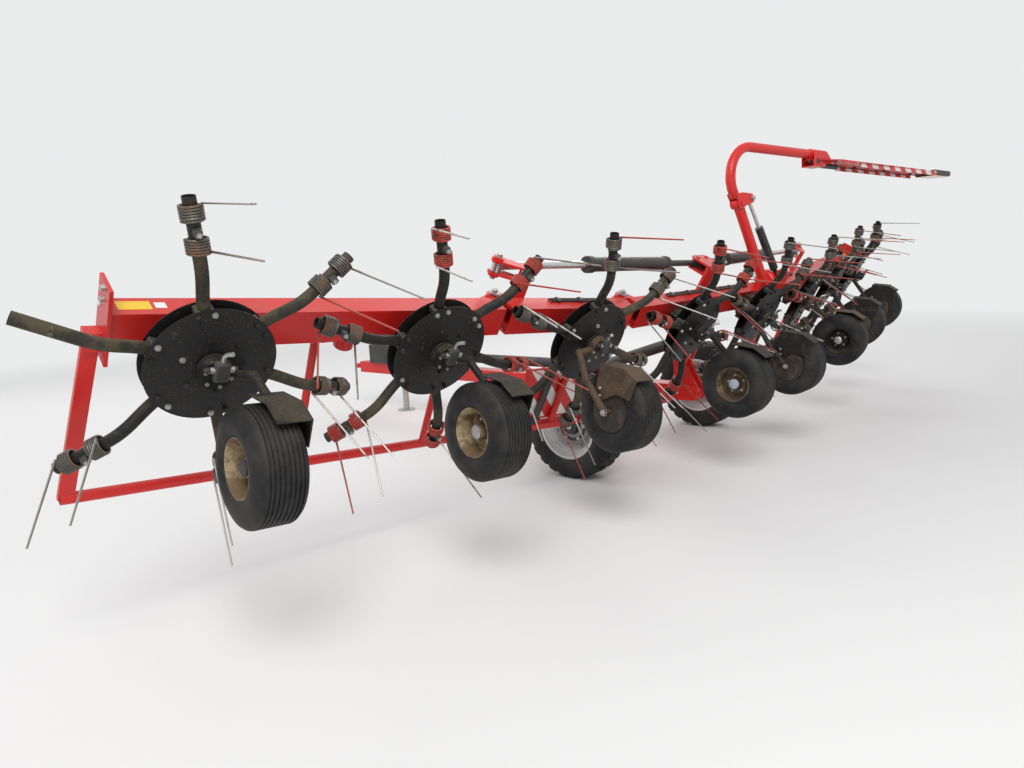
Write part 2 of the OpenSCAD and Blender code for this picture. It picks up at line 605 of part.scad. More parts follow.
// Lamp boom, drawn in its own upright plane: x outward, z up
boom_x = 720;
boom_back = 75;
boom_pin = [-262, 1900];
boom_foot = [70, 1262];
boom_pin_d = 40;
fork_x = 32;
cheek_t = 12;
bend_at = [boom_pin[0] + 143, boom_top - bend_r];
to_pin = boom_pin - bend_at;
bend_start = 360 + atan2(to_pin[1], to_pin[0]) - acos(bend_r / norm(to_pin));
bend_end = 88.5;
bend_top = bend_at + bend_r * [cos(bend_end), sin(bend_end)];
carrier_at = bend_top + 1000 * [sin(bend_end), -cos(bend_end)];
boom_ram_foot = [235, 1340];
boom_ram_eye = [-136, 1940];
boom_run = boom_ram_eye - boom_ram_foot;
boom_ram_len = norm(boom_run);
module at_boom() at_middle() translate([boom_x, row_y + boom_back, 0]) rotate([0, 0, boom_turn]) children();
// A lug for the cylinder's foot that reaches down to the bracket
module foot_lug(y, down) plate_xz(y, cheek_t) {
  polygon([boom_ram_foot + [-36, 0], boom_ram_foot + [-42, -down], boom_ram_foot + [42, -down],
    boom_ram_foot + [36, 0]]);
  translate(boom_ram_foot) circle(r = 36, $fn = round_n);
}
module boom_post() color(red) {
  at_boom() {
    along([boom_pin[0], 0, boom_pin[1]], [boom_foot[0], 0, boom_foot[1]]) {
      translate([0, 0, 80]) cylinder(h = norm(boom_foot - boom_pin) - 80, d = 80, $fn = round_n);
      translate([-30, -27, 0]) cube([60, 54, 100]);
    }
    pin_y(boom_pin[0], -27, 27, boom_pin[1], 90);
    pin_y(boom_pin[0], -fork_x - 22, fork_x + 22, boom_pin[1], boom_pin_d);
    foot_lug(-fork_x - cheek_t, 66);
    foot_lug(fork_x, 112);
    pin_y(boom_ram_foot[0], -fork_x - 20, fork_x + 20, boom_ram_foot[1], fold_pin_d);
  }
  at_row() translate([0, beam_y - seat, 0]) {
    translate([boom_x - 20, -70, beam_low]) cube([180, 70, 50]);
    translate([boom_x + 155, -20, beam_low - 50]) cube([165, 20, beam_t + 40]);
    translate([boom_x + 155, -180, beam_low - 50]) cube([165, 170, 25]);
  }
}
bend_start_at = bend_at + bend_r * [cos(bend_start), sin(bend_start)];
// A straight pipe whose wall lies inside the wall of the bend that it runs into
module boom_pipe(a, b) {
  along([a[0], 0, a[1]], [b[0], 0, b[1]]) difference() {
    cylinder(h = norm(b - a) + 2, d = boom_d - 2, $fn = round_n);
    translate([0, 0, -1]) cylinder(h = norm(b - a) + 4, d = boom_d - 2 * boom_wall + 2, $fn = round_n);
  }
}
module gooseneck() color(red) at_boom() {
  boom_pipe(boom_pin + 64 * (bend_start_at - boom_pin) / norm(bend_start_at - boom_pin), bend_start_at);
  boom_pipe(carrier_at, bend_top);
  translate([bend_at[0], 0, bend_at[1]]) rotate([90, 0, 0]) rotate([0, 0, bend_end])
    rotate_extrude(angle = bend_start - bend_end, $fn = 96) translate([bend_r, 0]) difference() {
      circle(d = boom_d, $fn = round_n);
      circle(d = boom_d - 2 * boom_wall, $fn = round_n);
    }
  for (y = [-fork_x - cheek_t, fork_x]) difference() {
    plate_xz(y, cheek_t) {
      polygon([boom_pin + [-42, 16], boom_pin + [42, -16], boom_ram_eye + [12, -32], boom_ram_eye + [34, 8],
        boom_ram_eye + [-4, 34], bend_start_at + [60, 10], bend_start_at + [-30, 0]]);
      translate(boom_pin) circle(r = 45, $fn = round_n);
      translate(boom_ram_eye) circle(r = 34, $fn = round_n);
    }
    pin_y(boom_pin[0], -100, 100, boom_pin[1], boom_pin_d + 2 * slack);
  }
}
socket_d = boom_d + 12;
carrier_t = 5;
module lamp_carrier() at_boom() translate([carrier_at[0], 0, carrier_at[1]]) rotate([0, 90 - bend_end, 0]) {
  low = -socket_d / 2 - 6;
  color(red) difference() {
    bar([-200, 0, 0], [20, 0, 0], socket_d);
    bar([-201, 0, 0], [seat, 0, 0], boom_d + 0.2);
  }
  color(red) difference() {
    translate([0, 0, low]) linear_extrude(carrier_t)
      polygon([[-200, -40], [60, -150], [carrier_len, -120], [carrier_len, 120], [60, 150], [-200, 40]]);
    translate([60, 0, low - 1]) cylinder(h = 10, d = 60, $fn = round_n);
  }
  color("white") translate([520, -110, low + carrier_t + seat]) cube([carrier_len - 560, 220, 3]);
  color(black) difference() {
    translate([carrier_len - 5, -100, low - 20]) cube([330, 200, 50]);
    translate([carrier_len + 5, -94, low - 21]) cube([310, 188, 40]);
  }
}
module at_boom_ram() at_boom() translate([boom_ram_foot[0], 0, boom_ram_foot[1]])
  rotate([0, -atan2(boom_run[1], boom_run[0]), 0]) children();
module boom_barrel() color(black) at_boom_ram()
  ram_barrel(440, 64, 32, 90, 2 * fork_x - 6, 60, fold_pin_d, 50);
module boom_rod() color(steel) at_boom_ram()
  ram_rod(boom_ram_len - 420, boom_ram_len, 32, 2 * fork_x - 10, 60, fold_pin_d);

axle_beam();
stub_axles();
spine();
hitch_eye();
drive_line();
jack_tube();
jack_leg();
transport_tyre_left();
transport_rim_left();
transport_tyre_right();
transport_rim_right();
lift_frame();
centre_beam();
fold_bracket();
supports_centre();
boom_post();
gooseneck();
lamp_carrier();
boom_barrel();
boom_rod();
lift_barrel();
lift_rod();
inner_beam_left();
inner_beam_right();
supports_inner_left();
supports_inner_right();
marker_board_left();
marker_board_right();
outer_beam_left();
outer_beam_right();
supports_outer_left();
supports_outer_right();
guard_rail_left();
guard_rail_right();
fold_barrel_left();
fold_barrel_right();
fold_rod_left();
fold_rod_right();
rotor_1();
rotor_2();
rotor_3();
rotor_4();
rotor_5();
rotor_6();
rotor_7();
rotor_8();
gauge_wheel_1();
gauge_wheel_2();
gauge_wheel_3();
gauge_wheel_4();
gauge_wheel_5();
gauge_wheel_6();
gauge_wheel_7();
gauge_wheel_8();
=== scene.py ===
"""The looks of a folded eight-rotor hay tedder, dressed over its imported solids.

Lengths are metres. The row frame lies as the row does in work: x along the row, y forward, z up.
"""
import math
import random

import bpy
from mathutils import Matrix, Vector


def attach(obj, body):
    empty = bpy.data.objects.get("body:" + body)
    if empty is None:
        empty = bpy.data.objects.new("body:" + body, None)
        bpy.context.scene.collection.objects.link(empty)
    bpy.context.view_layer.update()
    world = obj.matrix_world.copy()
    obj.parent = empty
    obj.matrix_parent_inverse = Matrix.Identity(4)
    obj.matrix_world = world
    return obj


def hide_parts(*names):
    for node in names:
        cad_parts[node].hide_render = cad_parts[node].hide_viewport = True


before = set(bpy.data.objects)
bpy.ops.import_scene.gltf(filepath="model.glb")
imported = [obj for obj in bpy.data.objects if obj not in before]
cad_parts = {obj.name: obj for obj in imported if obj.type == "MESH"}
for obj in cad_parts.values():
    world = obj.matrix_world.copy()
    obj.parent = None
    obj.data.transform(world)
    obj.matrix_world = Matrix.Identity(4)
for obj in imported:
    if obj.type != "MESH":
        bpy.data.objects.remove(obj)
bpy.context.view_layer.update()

# The part's own measures, as in its source
ROW_Y, ROW_Z, MID_X = -1.9484, 1.040, -0.0387
RAISE, WING_SET = math.radians(59.5), math.radians(7.8)
SPACING, PIN_Z = 1.07, 0.31
HINGE_B = 2 * SPACING
BEAM_FRONT, BEAM_BACK, BEAM_LOW, BEAM_TOP = 0.04, -0.12, 0.15, 0.27
BEAM_MID = 0.21
END_PLATE = 4.059
RAIL_Y, RAIL_Z = 0.745, 0.150
TRACK, AXLE_Y, AXLE_Z = 1.908, ROW_Y + 0.711, 0.38
WHEEL_HUB = (0.062, 0.168, -0.445)

# Each rotor's side, station outwards, angle of its first arm, and side of its wheel's leg
ROTORS = [(-1, 3, 43, -1), (-1, 2, 47, -1), (-1, 1, 43, 1), (-1, 0, 47, -1),
          (1, 0, 17, -1), (1, 1, 13, 1), (1, 2, 17, -1), (1, 3, 13, -1)]
# The rotors that each body carries
CARRIED = {"row": (4, 5), "wing_left": (3,), "wing_right": (6,), "tip_left": (1, 2), "tip_right": (7, 8)}
SIDES = {"left": -1, "right": 1}


def shift(x, y, z):
    return Matrix.Translation((x, y, z))


def turn(degrees, axis):
    return Matrix.Rotation(math.radians(degrees), 4, axis)


def mirrored(side):
    return Matrix.Scale(-1, 4, (1, 0, 0)) if side < 0 else Matrix.Identity(4)


ROW = shift(MID_X, ROW_Y, ROW_Z) @ Matrix.Rotation(-RAISE, 4, "X")
BOOM = shift(MID_X + 0.72, ROW_Y + 0.075, 0) @ turn(-12, "Z")


def wing_frame(side):
    return (ROW @ mirrored(side) @ shift(SPACING, 0, PIN_Z)
            @ Matrix.Rotation(-WING_SET, 4, "Y") @ shift(-SPACING, 0, -PIN_Z))


def station_frame(side, station):
    """The frame of a rotor's spindle, z along it."""
    base = ROW @ mirrored(side) if station == 0 else wing_frame(side)
    return base @ shift((station + 0.5) * SPACING, 0, 0)


# Materials, whose sums on sockets are written as Python

class Signal:
    """A value in a node tree."""

    def __init__(self, nodes, socket):
        self.nodes = nodes
        self.socket = socket

    def math(self, operation, *others, clamp=False):
        values = dict(enumerate((self, *others)))
        return self.nodes.node("ShaderNodeMath", values, operation=operation, use_clamp=clamp)

    def __add__(self, other):
        return self.math("ADD", other)

    def __sub__(self, other):
        return self.math("SUBTRACT", other)

    def __mul__(self, other):
        return self.math("MULTIPLY", other)

    def __truediv__(self, other):
        return self.math("DIVIDE", other)

    def __rsub__(self, other):
        return self.nodes.node("ShaderNodeMath", {0: other, 1: self}, operation="SUBTRACT")

    __radd__ = __add__
    __rmul__ = __mul__

    def above(self, low, high):
        """0 below low, 1 over high, smooth between."""
        values = {"Value": self, "From Min": low, "From Max": high}
        return self.nodes.node("ShaderNodeMapRange", values, interpolation_type="SMOOTHSTEP")


class Nodes:
    """A node tree and the tools to grow it."""

    def __init__(self, tree):
        self.tree = tree

    def node(self, kind, values=None, out=0, **settings):
        """One node with its settings, and the values or links of its sockets."""
        made = self.tree.nodes.new(kind)
        for key, value in settings.items():
            setattr(made, key, value)
        for key, value in (values or {}).items():
            if isinstance(value, Signal):
                self.tree.links.new(value.socket, made.inputs[key])
            else:
                made.inputs[key].default_value = value
        return Signal(self, made.outputs[out])

    def mix(self, factor, first, second):
        """One of two colours, or between them."""
        first, second = (c if isinstance(c, Signal) else (*c, 1) for c in (first, second))
        return self.node("ShaderNodeMix", {0: factor, 6: first, 7: second}, out=2, data_type="RGBA")

    def seen(self):
        """1 for the rays that look for the background: the camera's own, and those by metal and glass."""
        camera, glossy, passing = (self.node("ShaderNodeLightPath", out=kind)
                                   for kind in ("Is Camera Ray", "Is Glossy Ray", "Is Transmission Ray"))
        return (camera + glossy).math("ADD", passing, clamp=True)

    def surface(self, output, factor, first, second):
        """Ends the tree in a mix of two shaders."""
        blend = self.node("ShaderNodeMixShader", {0: factor, 1: first, 2: second})
        self.tree.links.new(blend.socket, self.tree.nodes[output].inputs["Surface"])


class Finish(Nodes):
    """One material and the tools to paint it."""

    def __init__(self, name, **settings):
        self.material = bpy.data.materials.new(name)
        self.material.use_nodes = True
        super().__init__(self.material.node_tree)
        self.shader = self.tree.nodes["Principled BSDF"]
        for socket, value in settings.items():
            self.shader.inputs[socket.replace("_", " ")].default_value = value

    def noise(self, scale, detail=5, rough=0.6, stretch=(1, 1, 1)):
        where = self.node("ShaderNodeTexCoord", out="Object")
        place = self.node("ShaderNodeMapping", {"Vector": where, "Scale": stretch})
        values = {"Vector": place, "Scale": scale, "Detail": detail, "Roughness": rough}
        return self.node("ShaderNodeTexNoise", values)

    def upward(self):
        """How far a surface faces up, from 0 to 1."""
        normal = self.node("ShaderNodeNewGeometry", out="Normal")
        return self.node("ShaderNodeSeparateXYZ", {0: normal}, out=2).above(0.1, 0.95)

    def feed(self, colour=None, roughness=None, metallic=None, bump=None, depth=0.001, strength=0.5):
        """Links what varies to the shader."""
        for name, value in (("Base Color", colour), ("Roughness", roughness), ("Metallic", metallic)):
            if value is not None:
                self.tree.links.new(value.socket, self.shader.inputs[name])
        if bump is not None:
            values = {"Height": bump, "Distance": depth, "Strength": strength}
            normal = self.node("ShaderNodeBump", values)
            self.tree.links.new(normal.socket, self.shader.inputs["Normal"])
        return self.material


DUST = (0.30, 0.25, 0.18)
RUST = (0.13, 0.052, 0.022)
RUST_ON_STEEL = (0.17, 0.08, 0.04)
STRAW = (0.24, 0.19, 0.10)
TYRE_DUST = (0.15, 0.135, 0.11)


def painted(name, base, faded, dust=0.35, wear=0.62, roughness=0.34):
    """Sprayed paint that has faded in patches, with chips, fine scratches and dust on top."""
    f = Finish(name, Coat_Weight=0.08, Specular_IOR_Level=0.4)
    patches = f.noise(2.2, 3).above(0.35, 0.7)
    grain = f.noise(60, 3)
    chips = f.noise(34, 6, 0.7).above(wear, wear + 0.03) * f.noise(5, 3).above(0.48, 0.66)
    scratches = f.noise(16, 4, 0.7, (1, 9, 9)).above(0.69, 0.72)
    film = (f.upward() * 0.75 + 0.12) * f.noise(7, 6, 0.72).above(0.3, 0.75) * dust
    scratched = tuple(min(1, 1.5 * c + 0.05) for c in base)
    colour = f.mix(patches, base, faded)
    colour = f.mix(scratches * 0.5, colour, scratched)
    colour = f.mix(film, colour, DUST)
    colour = f.mix(chips, colour, RUST)
    matt = film * 0.5 + chips * 0.4 + grain * 0.1 + (roughness - 0.05)
    return f.feed(colour, roughness=matt, bump=grain * 0.15 - chips, depth=0.0006)


def soiled(name, paint, dirt, cover=0.5, roughness=0.62):
    """Dark paint under crop juice, chaff and dry mud."""
    f = Finish(name, Specular_IOR_Level=0.22)
    cake = f.noise(9, 8, 0.72)
    fine = f.noise(85, 4, 0.65)
    crust = (cake + f.upward() * 0.10).above(cover, cover + 0.16)
    straw = f.noise(30, 3, 0.6, (5, 1, 1)).above(0.63, 0.68) * crust
    colour = f.mix(crust * 0.85, paint, dirt)
    colour = f.mix(straw * 0.6, colour, STRAW)
    colour = f.mix(fine.above(0.60, 0.66) * 0.5, colour, RUST)
    matt = crust * 0.28 + fine * 0.12 + (roughness - 0.2)
    return f.feed(colour, roughness=matt, bump=crust + fine * 0.5, depth=0.0012)


def worn_steel(name, bright, rust_from=0.56, roughness=0.36):
    """Steel rubbed bright by the crop, with rust in the quiet spots."""
    f = Finish(name)
    rust = f.noise(14, 6, 0.7).above(rust_from, rust_from + 0.1)
    fine = f.noise(120, 3)
    colour = f.mix(fine, bright, tuple(0.7 * c for c in bright))
    colour = f.mix(rust * 0.85, colour, RUST_ON_STEEL)
    matt = rust * 0.4 + fine * 0.14 + (roughness - 0.05)
    pits = rust * 0.4 + fine * 0.2
    return f.feed(colour, roughness=matt, metallic=0.85 - rust * 0.75, bump=pits, depth=0.0004)


def dusty_rubber(name, base, dust):
    f = Finish(name, Specular_IOR_Level=0.22)
    cloud = f.noise(6, 6, 0.7)
    fine = f.noise(95, 4)
    film = (cloud.above(0.38, 0.72) * 0.8 + f.upward() * 0.2) * dust
    matt = film * 0.35 + fine * 0.1 + 0.52
    return f.feed(f.mix(film, base, TYRE_DUST), roughness=matt, bump=fine, depth=0.0005, strength=0.35)


def plain_plastic(name, base, roughness=0.4, dust=0.15, **settings):
    f = Finish(name, **settings)
    film = f.noise(12, 5, 0.7).above(0.4, 0.75) * dust
    return f.feed(f.mix(film, base, DUST), roughness=film * 0.5 + roughness)


def striped(name, first, second, width):
    """Slanting bands of the board's own measure, a metre to a unit of UV."""
    f = Finish(name)
    where = f.node("ShaderNodeTexCoord", out="UV")
    x, y = (f.node("ShaderNodeSeparateXYZ", {0: where}, out=axis) for axis in (0, 1))
    band = ((x + y) / (2 * width)).math("FRACT").math("GREATER_THAN", 0.5)
    grime = f.noise(9, 6, 0.7).above(0.42, 0.8) * 0.35
    mesh = f.noise(240, 2)
    colour = f.mix(grime, f.mix(band, first, second), DUST)
    return f.feed(colour, roughness=grime * 0.5 + mesh * 0.08 + 0.28, bump=mesh, depth=0.0002)


RED = painted("red_paint", (0.64, 0.012, 0.010), (0.55, 0.018, 0.013), dust=0.24)
RED_CLEAN = painted("red_paint_bright", (0.68, 0.016, 0.012), (0.60, 0.022, 0.015), dust=0.14, wear=0.70)
BLACK = painted("black_paint", (0.018, 0.018, 0.019), (0.032, 0.031, 0.030), dust=0.45, roughness=0.42)
SOILED = soiled("soiled_black", (0.016, 0.016, 0.015), (0.060, 0.050, 0.032))
DISC = soiled("disc_black", (0.012, 0.012, 0.012), (0.042, 0.036, 0.026), 0.56, 0.55)
OLIVE = soiled("soiled_olive", (0.028, 0.027, 0.020), (0.085, 0.070, 0.042), 0.42)
FENDER = soiled("fender_brown", (0.060, 0.041, 0.028), (0.115, 0.076, 0.048), 0.45)
COVER = soiled("wheel_cover", (0.030, 0.027, 0.024), (0.075, 0.060, 0.042), 0.46)
CAST = soiled("cast_grey", (0.055, 0.055, 0.053), (0.10, 0.085, 0.06), 0.52)
TINE = worn_steel("tine_steel", (0.42, 0.40, 0.37))
TINE_DARK = worn_steel("tine_dark", (0.16, 0.15, 0.13), 0.5, 0.5)
TINE_RED = painted("tine_red", (0.42, 0.03, 0.02), (0.30, 0.035, 0.022), dust=0.5, wear=0.52, roughness=0.42)
ROD = worn_steel("rod_chrome", (0.72, 0.72, 0.72), 0.78, 0.16)
ZINC = worn_steel("zinc_plate", (0.50, 0.50, 0.48), 0.72, 0.42)
RIM_BRIGHT = painted("rim_bright", (0.58, 0.58, 0.57), (0.46, 0.455, 0.44), dust=0.3, wear=0.64)
RIM_SILVER = painted("rim_silver", (0.36, 0.355, 0.34), (0.24, 0.23, 0.21), 0.5, 0.6, 0.42)
RIM_CREAM = soiled("rim_cream", (0.36, 0.28, 0.165), (0.105, 0.060, 0.030), 0.42, 0.5)
RIM_BRONZE = soiled("rim_bronze", (0.20, 0.15, 0.09), (0.060, 0.042, 0.026), 0.40, 0.5)
CAP = plain_plastic("cap_pale", (0.34, 0.40, 0.47), 0.4, 0.2)
RUBBER = dusty_rubber("tyre_rubber", (0.012, 0.012, 0.013), 0.26)
HOSE = dusty_rubber("hose_rubber", (0.012, 0.012, 0.013), 0.2)
BOARD = striped("board_stripes", (0.80, 0.79, 0.76), (0.62, 0.02, 0.015), 0.10)
BOARD_EDGE = plain_plastic("board_edge", (0.70, 0.015, 0.012), 0.3)
WHITE = plain_plastic("white_plastic", (0.78, 0.77, 0.74), 0.4, 0.3)
YELLOW = plain_plastic("yellow_plate", (0.80, 0.52, 0.02), 0.35, 0.2)
LAMP_RED = plain_plastic("lamp_red", (0.55, 0.012, 0.010), 0.12, 0.1, Coat_Weight=0.6)
LAMP_AMBER = plain_plastic("lamp_amber", (0.80, 0.26, 0.012), 0.12, 0.1, Coat_Weight=0.6)
# Black plastic for real parts, and also painted shade on the thin black discs and sheets that stand for holes
BLACK_PLASTIC_AND_HOLE_SHADE = plain_plastic("black_plastic_and_hole_shade", (0.020, 0.020, 0.022), 0.42, 0.25)


# Shapes

def link(name, data):
    """A new object in the scene."""
    holder = bpy.data.objects.new(name, data)
    bpy.context.scene.collection.objects.link(holder)
    return holder


def around(count, radius, start=0.0):
    """Places evenly round a circle, in its plane, from an angle on."""
    angles = (start + 2 * math.pi * k / count for k in range(count))
    return [(radius * math.cos(a), radius * math.sin(a)) for a in angles]


class Shape:
    """A mesh that grows from simple forms, each with its own finish, in a frame of its own."""

    def __init__(self):
        self.points, self.faces, self.paint, self.finishes, self.uvs = [], [], [], [], {}

    def add(self, points, faces, finish, where):
        if finish not in self.finishes:
            self.finishes.append(finish)
        slot = self.finishes.index(finish)
        start = len(self.points)
        flip = where.determinant() < 0
        self.points += [where @ Vector(p) for p in points]
        for corners in faces:
            face = [start + i for i in corners]
            self.faces.append(face[::-1] if flip else face)
            self.paint.append(slot)

    def loops(self, rings, finish, where, caps=True):
        """Skins a list of rings of points."""
        n = len(rings[0])
        points = [p for ring in rings for p in ring]
        faces = []
        for k in range(len(rings) - 1):
            for i in range(n):
                j = (i + 1) % n
                faces.append((k * n + i, k * n + j, (k + 1) * n + j, (k + 1) * n + i))
        if caps:
            faces.append(tuple(range(n))[::-1])
            faces.append(tuple((len(rings) - 1) * n + i for i in range(n)))
        self.add(points, faces, finish, where)

    def lathe(self, profile, finish, where, count=64, swell=None, closed=False):
        """Turns (x, radius) points about X. swell(i, step) shifts a radius."""
        rings = []
        line = list(profile) + ([profile[0]] if closed else [])
        for i, (x, r) in enumerate(line):
            ring = []
            for k in range(count):
                a = 2 * math.pi * k / count
                reach = r + (swell(i, k) if swell else 0)
                ring.append((x, reach * math.cos(a), reach * math.sin(a)))
            rings.append(ring)
        self.loops(rings, finish, where, caps=False)

    def tube(self, path, radius, finish, where, sides=16, caps=True):
        """A round bar along a path. radius is one number or one for each point."""
        path = [Vector(p) for p in path]
        radii = radius if isinstance(radius, (list, tuple)) else [radius] * len(path)
        rings, side = [], None
        for i, p in enumerate(path):
            ahead = (path[min(i + 1, len(path) - 1)] - path[max(i - 1, 0)]).normalized()
            if side is None:
                side = ahead.orthogonal().normalized()
            side = (side - ahead * side.dot(ahead)).normalized()
            other = ahead.cross(side)
            rings.append([p + radii[i] * (math.cos(a) * side + math.sin(a) * other)
                          for a in (2 * math.pi * k / sides for k in range(sides))])
        self.loops(rings, finish, where, caps=caps)

    def box(self, low, high, finish, where, bevel=0.004):
        """A box with chamfered edges."""
        low, high = Vector(low), Vector(high)
        b = min(bevel, 0.45 * min(high - low))
        layers = []
        for z, inset in ((low.z, b), (low.z + b, 0), (high.z - b, 0), (high.z, b)):
            x0, x1, y0, y1 = low.x + inset, high.x - inset, low.y + inset, high.y - inset
            c = b if inset == 0 else b * 0.6
            layers.append([(x0 + c, y0, z), (x1 - c, y0, z), (x1, y0 + c, z), (x1, y1 - c, z),
                           (x1 - c, y1, z), (x0 + c, y1, z), (x0, y1 - c, z), (x0, y0 + c, z)])
        self.loops(layers, finish, where)

    def board(self, low, high, finish, where):
        """A thin board in x and y with its measures as UV."""
        start = len(self.points)
        self.box(low, high, finish, where, bevel=0.001)
        local = where.inverted()
        for i in range(start, len(self.points)):
            p = local @ self.points[i]
            self.uvs[i] = (p.x - low[0], p.y - low[1])

    def plate(self, outline, thick, finish, where, bevel=0.0015):
        """A plate on an outline in x and y, from z = 0 up."""
        middle = sum((Vector((*p, 0)) for p in outline), Vector()) / len(outline)
        pairs = [(outline[i - 1], outline[i]) for i in range(len(outline))]
        area = sum(a[0] * b[1] - b[0] * a[1] for a, b in pairs)
        corners = [Vector((*p, 0)) for p in (outline if area > 0 else outline[::-1])]
        rings = []
        for z, by in ((0, bevel), (bevel, 0), (thick - bevel, 0), (thick, bevel)):
            rings.append([v + (middle - v).normalized() * by + Vector((0, 0, z)) for v in corners])
        self.loops(rings, finish, where)

    def bolt(self, at, along, size, finish, where, washer=True):
        """A hexagon head with its washer, standing on a surface."""
        upright = Vector(along).normalized().to_track_quat("Z", "Y").to_matrix().to_4x4()
        base = where @ Matrix.Translation(at) @ upright
        if washer:
            disc = around(16, 1.15 * size)
            self.loops([[(*p, z) for p in disc] for z in (0, 0.18 * size)], finish, base)
        head = [(0.18, 0.92), (0.95, 0.92), (1.05, 0.80)]
        self.loops([[(*p, z * size) for p in around(6, r * size)] for z, r in head], finish, base)

    def make(self, name, body, replaces=(), smooth=38):
        """Makes the piece, on its body, in place of the nodes that it replaces."""
        mesh = bpy.data.meshes.new(name)
        mesh.from_pydata([tuple(p) for p in self.points], [], self.faces)
        for finish in self.finishes:
            mesh.materials.append(finish)
        mesh.polygons.foreach_set("material_index", self.paint)
        mesh.polygons.foreach_set("use_smooth", [True] * len(self.faces))
        mesh.update()
        mesh.set_sharp_from_angle(angle=math.radians(smooth))
        if self.uvs:
            layer = mesh.uv_layers.new(name="UVMap")
            for poly in mesh.polygons:
                for loop in poly.loop_indices:
                    layer.data[loop].uv = self.uvs.get(mesh.loops[loop].vertex_index, (0, 0))
        piece = link(name, mesh)
        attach(piece, body)
        if replaces:
            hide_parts(*replaces)


def rounded(points, radius, steps=6):
    """A path whose corners turn on curves."""
    points = [Vector(p) for p in points]
    path = [points[0]]
    for a, b, c in zip(points, points[1:], points[2:]):
        back, ahead = (a - b), (c - b)
        reach = min(radius, 0.45 * back.length, 0.45 * ahead.length)
        p0, p2 = b + back.normalized() * reach, b + ahead.normalized() * reach
        for k in range(steps + 1):
            t = k / steps
            path.append((1 - t) ** 2 * p0 + 2 * t * (1 - t) * b + t * t * p2)
    path.append(points[-1])
    return path


def flipped(profile):
    """A lathe's profile on the other side of x = 0."""
    return [(-x, r) for x, r in profile[::-1]]


# Rotors

DISC_R, HUB_R = 0.25, 0.060
ARM_R, ARM_BORE_R = 0.024, 0.0205
BEND_REACH, BEND_DIP, ARM_REACH, ARM_RISE = 0.415, -0.046, 0.672, 0.016
ARM_LINE = [(0.05, 0, 0), (0.252, 0, 0), (BEND_REACH, 0, BEND_DIP), (ARM_REACH, 0, ARM_RISE)]
SLOPE = math.atan2(ARM_RISE - BEND_DIP, ARM_REACH - BEND_REACH)
ARM_ALONG = Vector((math.cos(SLOPE), 0, math.sin(SLOPE)))
ARM_UP = Vector((-math.sin(SLOPE), 0, math.cos(SLOPE)))
# Each saddle's near edge, far edge and half width, and the bolts through both
SADDLES, SADDLE_HALF_T = ((0.205, 0.243, 0.034), (0.105, 0.135, 0.031)), 0.031
SADDLE_BOLTS, DISC_FACE = ((0.224, 0.029), (0.224, -0.029), (0.12, 0)), 0.0375
COILS = (0.505, 0.620)
CLAMP_REACH = 0.5625
WIRE_R, COIL_R, COIL_START, COIL_RUN, COIL_TURNS, COIL_STEPS = 0.0048, 0.0382, -0.029, 0.054, 5.5, 14
TINE_LEG, TINE_OUT, TINE_SIDE, TINE_DOWN, TINE_SPREAD = 0.392, 0.38, 0.15, -0.92, 0.03
# The rotor and arm that have lost their tines, and the rotors with red springs
BARE_ROTOR, BARE_ARM = 1, 5
RED_SPRINGS = (2, 4, 6)
# Shares of olive arms, of red springs on those rotors, and of bare tines there and elsewhere
OLIVE_SHARE, RED_SHARE, BARE_AMONG_RED, BARE_ELSEWHERE = 0.45, 0.75, 0.45, 0.8


def arm_height(reach):
    """Height of an arm's middle line beyond its bend."""
    return BEND_DIP + (reach - BEND_REACH) * math.tan(SLOPE)


def spring_tine(shape, arm, reach, hand, coil_paint, leg_paint, twist):
    """A wound coil on the arm's end, whose wire runs out into a straight tine."""
    middle = Vector((reach, 0, arm_height(reach)))
    side = Vector((0, 1, 0))
    outer = 1 if reach > CLAMP_REACH else -1
    path = []
    steps = int(COIL_TURNS * COIL_STEPS)
    for k in range(steps + 1):
        t = k / steps
        a = -hand * 2 * math.pi * COIL_TURNS * (1 - t) + (0 if hand > 0 else math.pi)
        round_arm = math.cos(a) * side + math.sin(a) * ARM_UP
        path.append(middle + ARM_ALONG * outer * (COIL_START + COIL_RUN * t) + COIL_R * round_arm)
    shape.tube(path, WIRE_R, coil_paint, arm, sides=7)
    root = path[-1]
    lean = Vector((TINE_OUT + TINE_SPREAD * twist, hand * TINE_SIDE, TINE_DOWN)).normalized()
    leg = rounded([root, root + 0.02 * lean, root + TINE_LEG * lean], 0.01, 2)
    shape.tube(leg, [WIRE_R] * (len(leg) - 1) + [WIRE_R * 0.8], leg_paint, arm, sides=7)


def rotor_disc(shape, low, face, base):
    """A pressed disc with a rolled edge and a raised middle, its good side towards face."""
    inner, outer = (low, low + 0.004) if face > 0 else (low + 0.004, low)
    rim, bead, dish = outer - face * 0.001, outer + face * 0.0025, outer + face * 0.008
    edge = [(inner, 0.05), (inner, DISC_R - 0.004), (inner + face * 0.001, DISC_R), (rim, DISC_R),
            (outer, DISC_R - 0.003), (outer, 0.232), (bead, 0.226), (bead, 0.10), (dish, 0.085), (dish, 0.05)]
    shape.lathe(edge[::face], DISC, base, 72)


def arm_fittings(shape, arm, luck):
    """The two saddles that hold an arm between the discs, and their bolts."""
    for near, far, half in SADDLES:
        shape.box((near, -half, -SADDLE_HALF_T), (far, half, SADDLE_HALF_T), CAST, arm, 0.005)
    for r, y in SADDLE_BOLTS:
        below = ZINC if luck.random() < 0.3 else SOILED
        shape.bolt((r, y, -DISC_FACE), (0, 0, -1), 0.0105, below, arm)
        shape.bolt((r, y, DISC_FACE), (0, 0, 1), 0.0105, SOILED, arm)


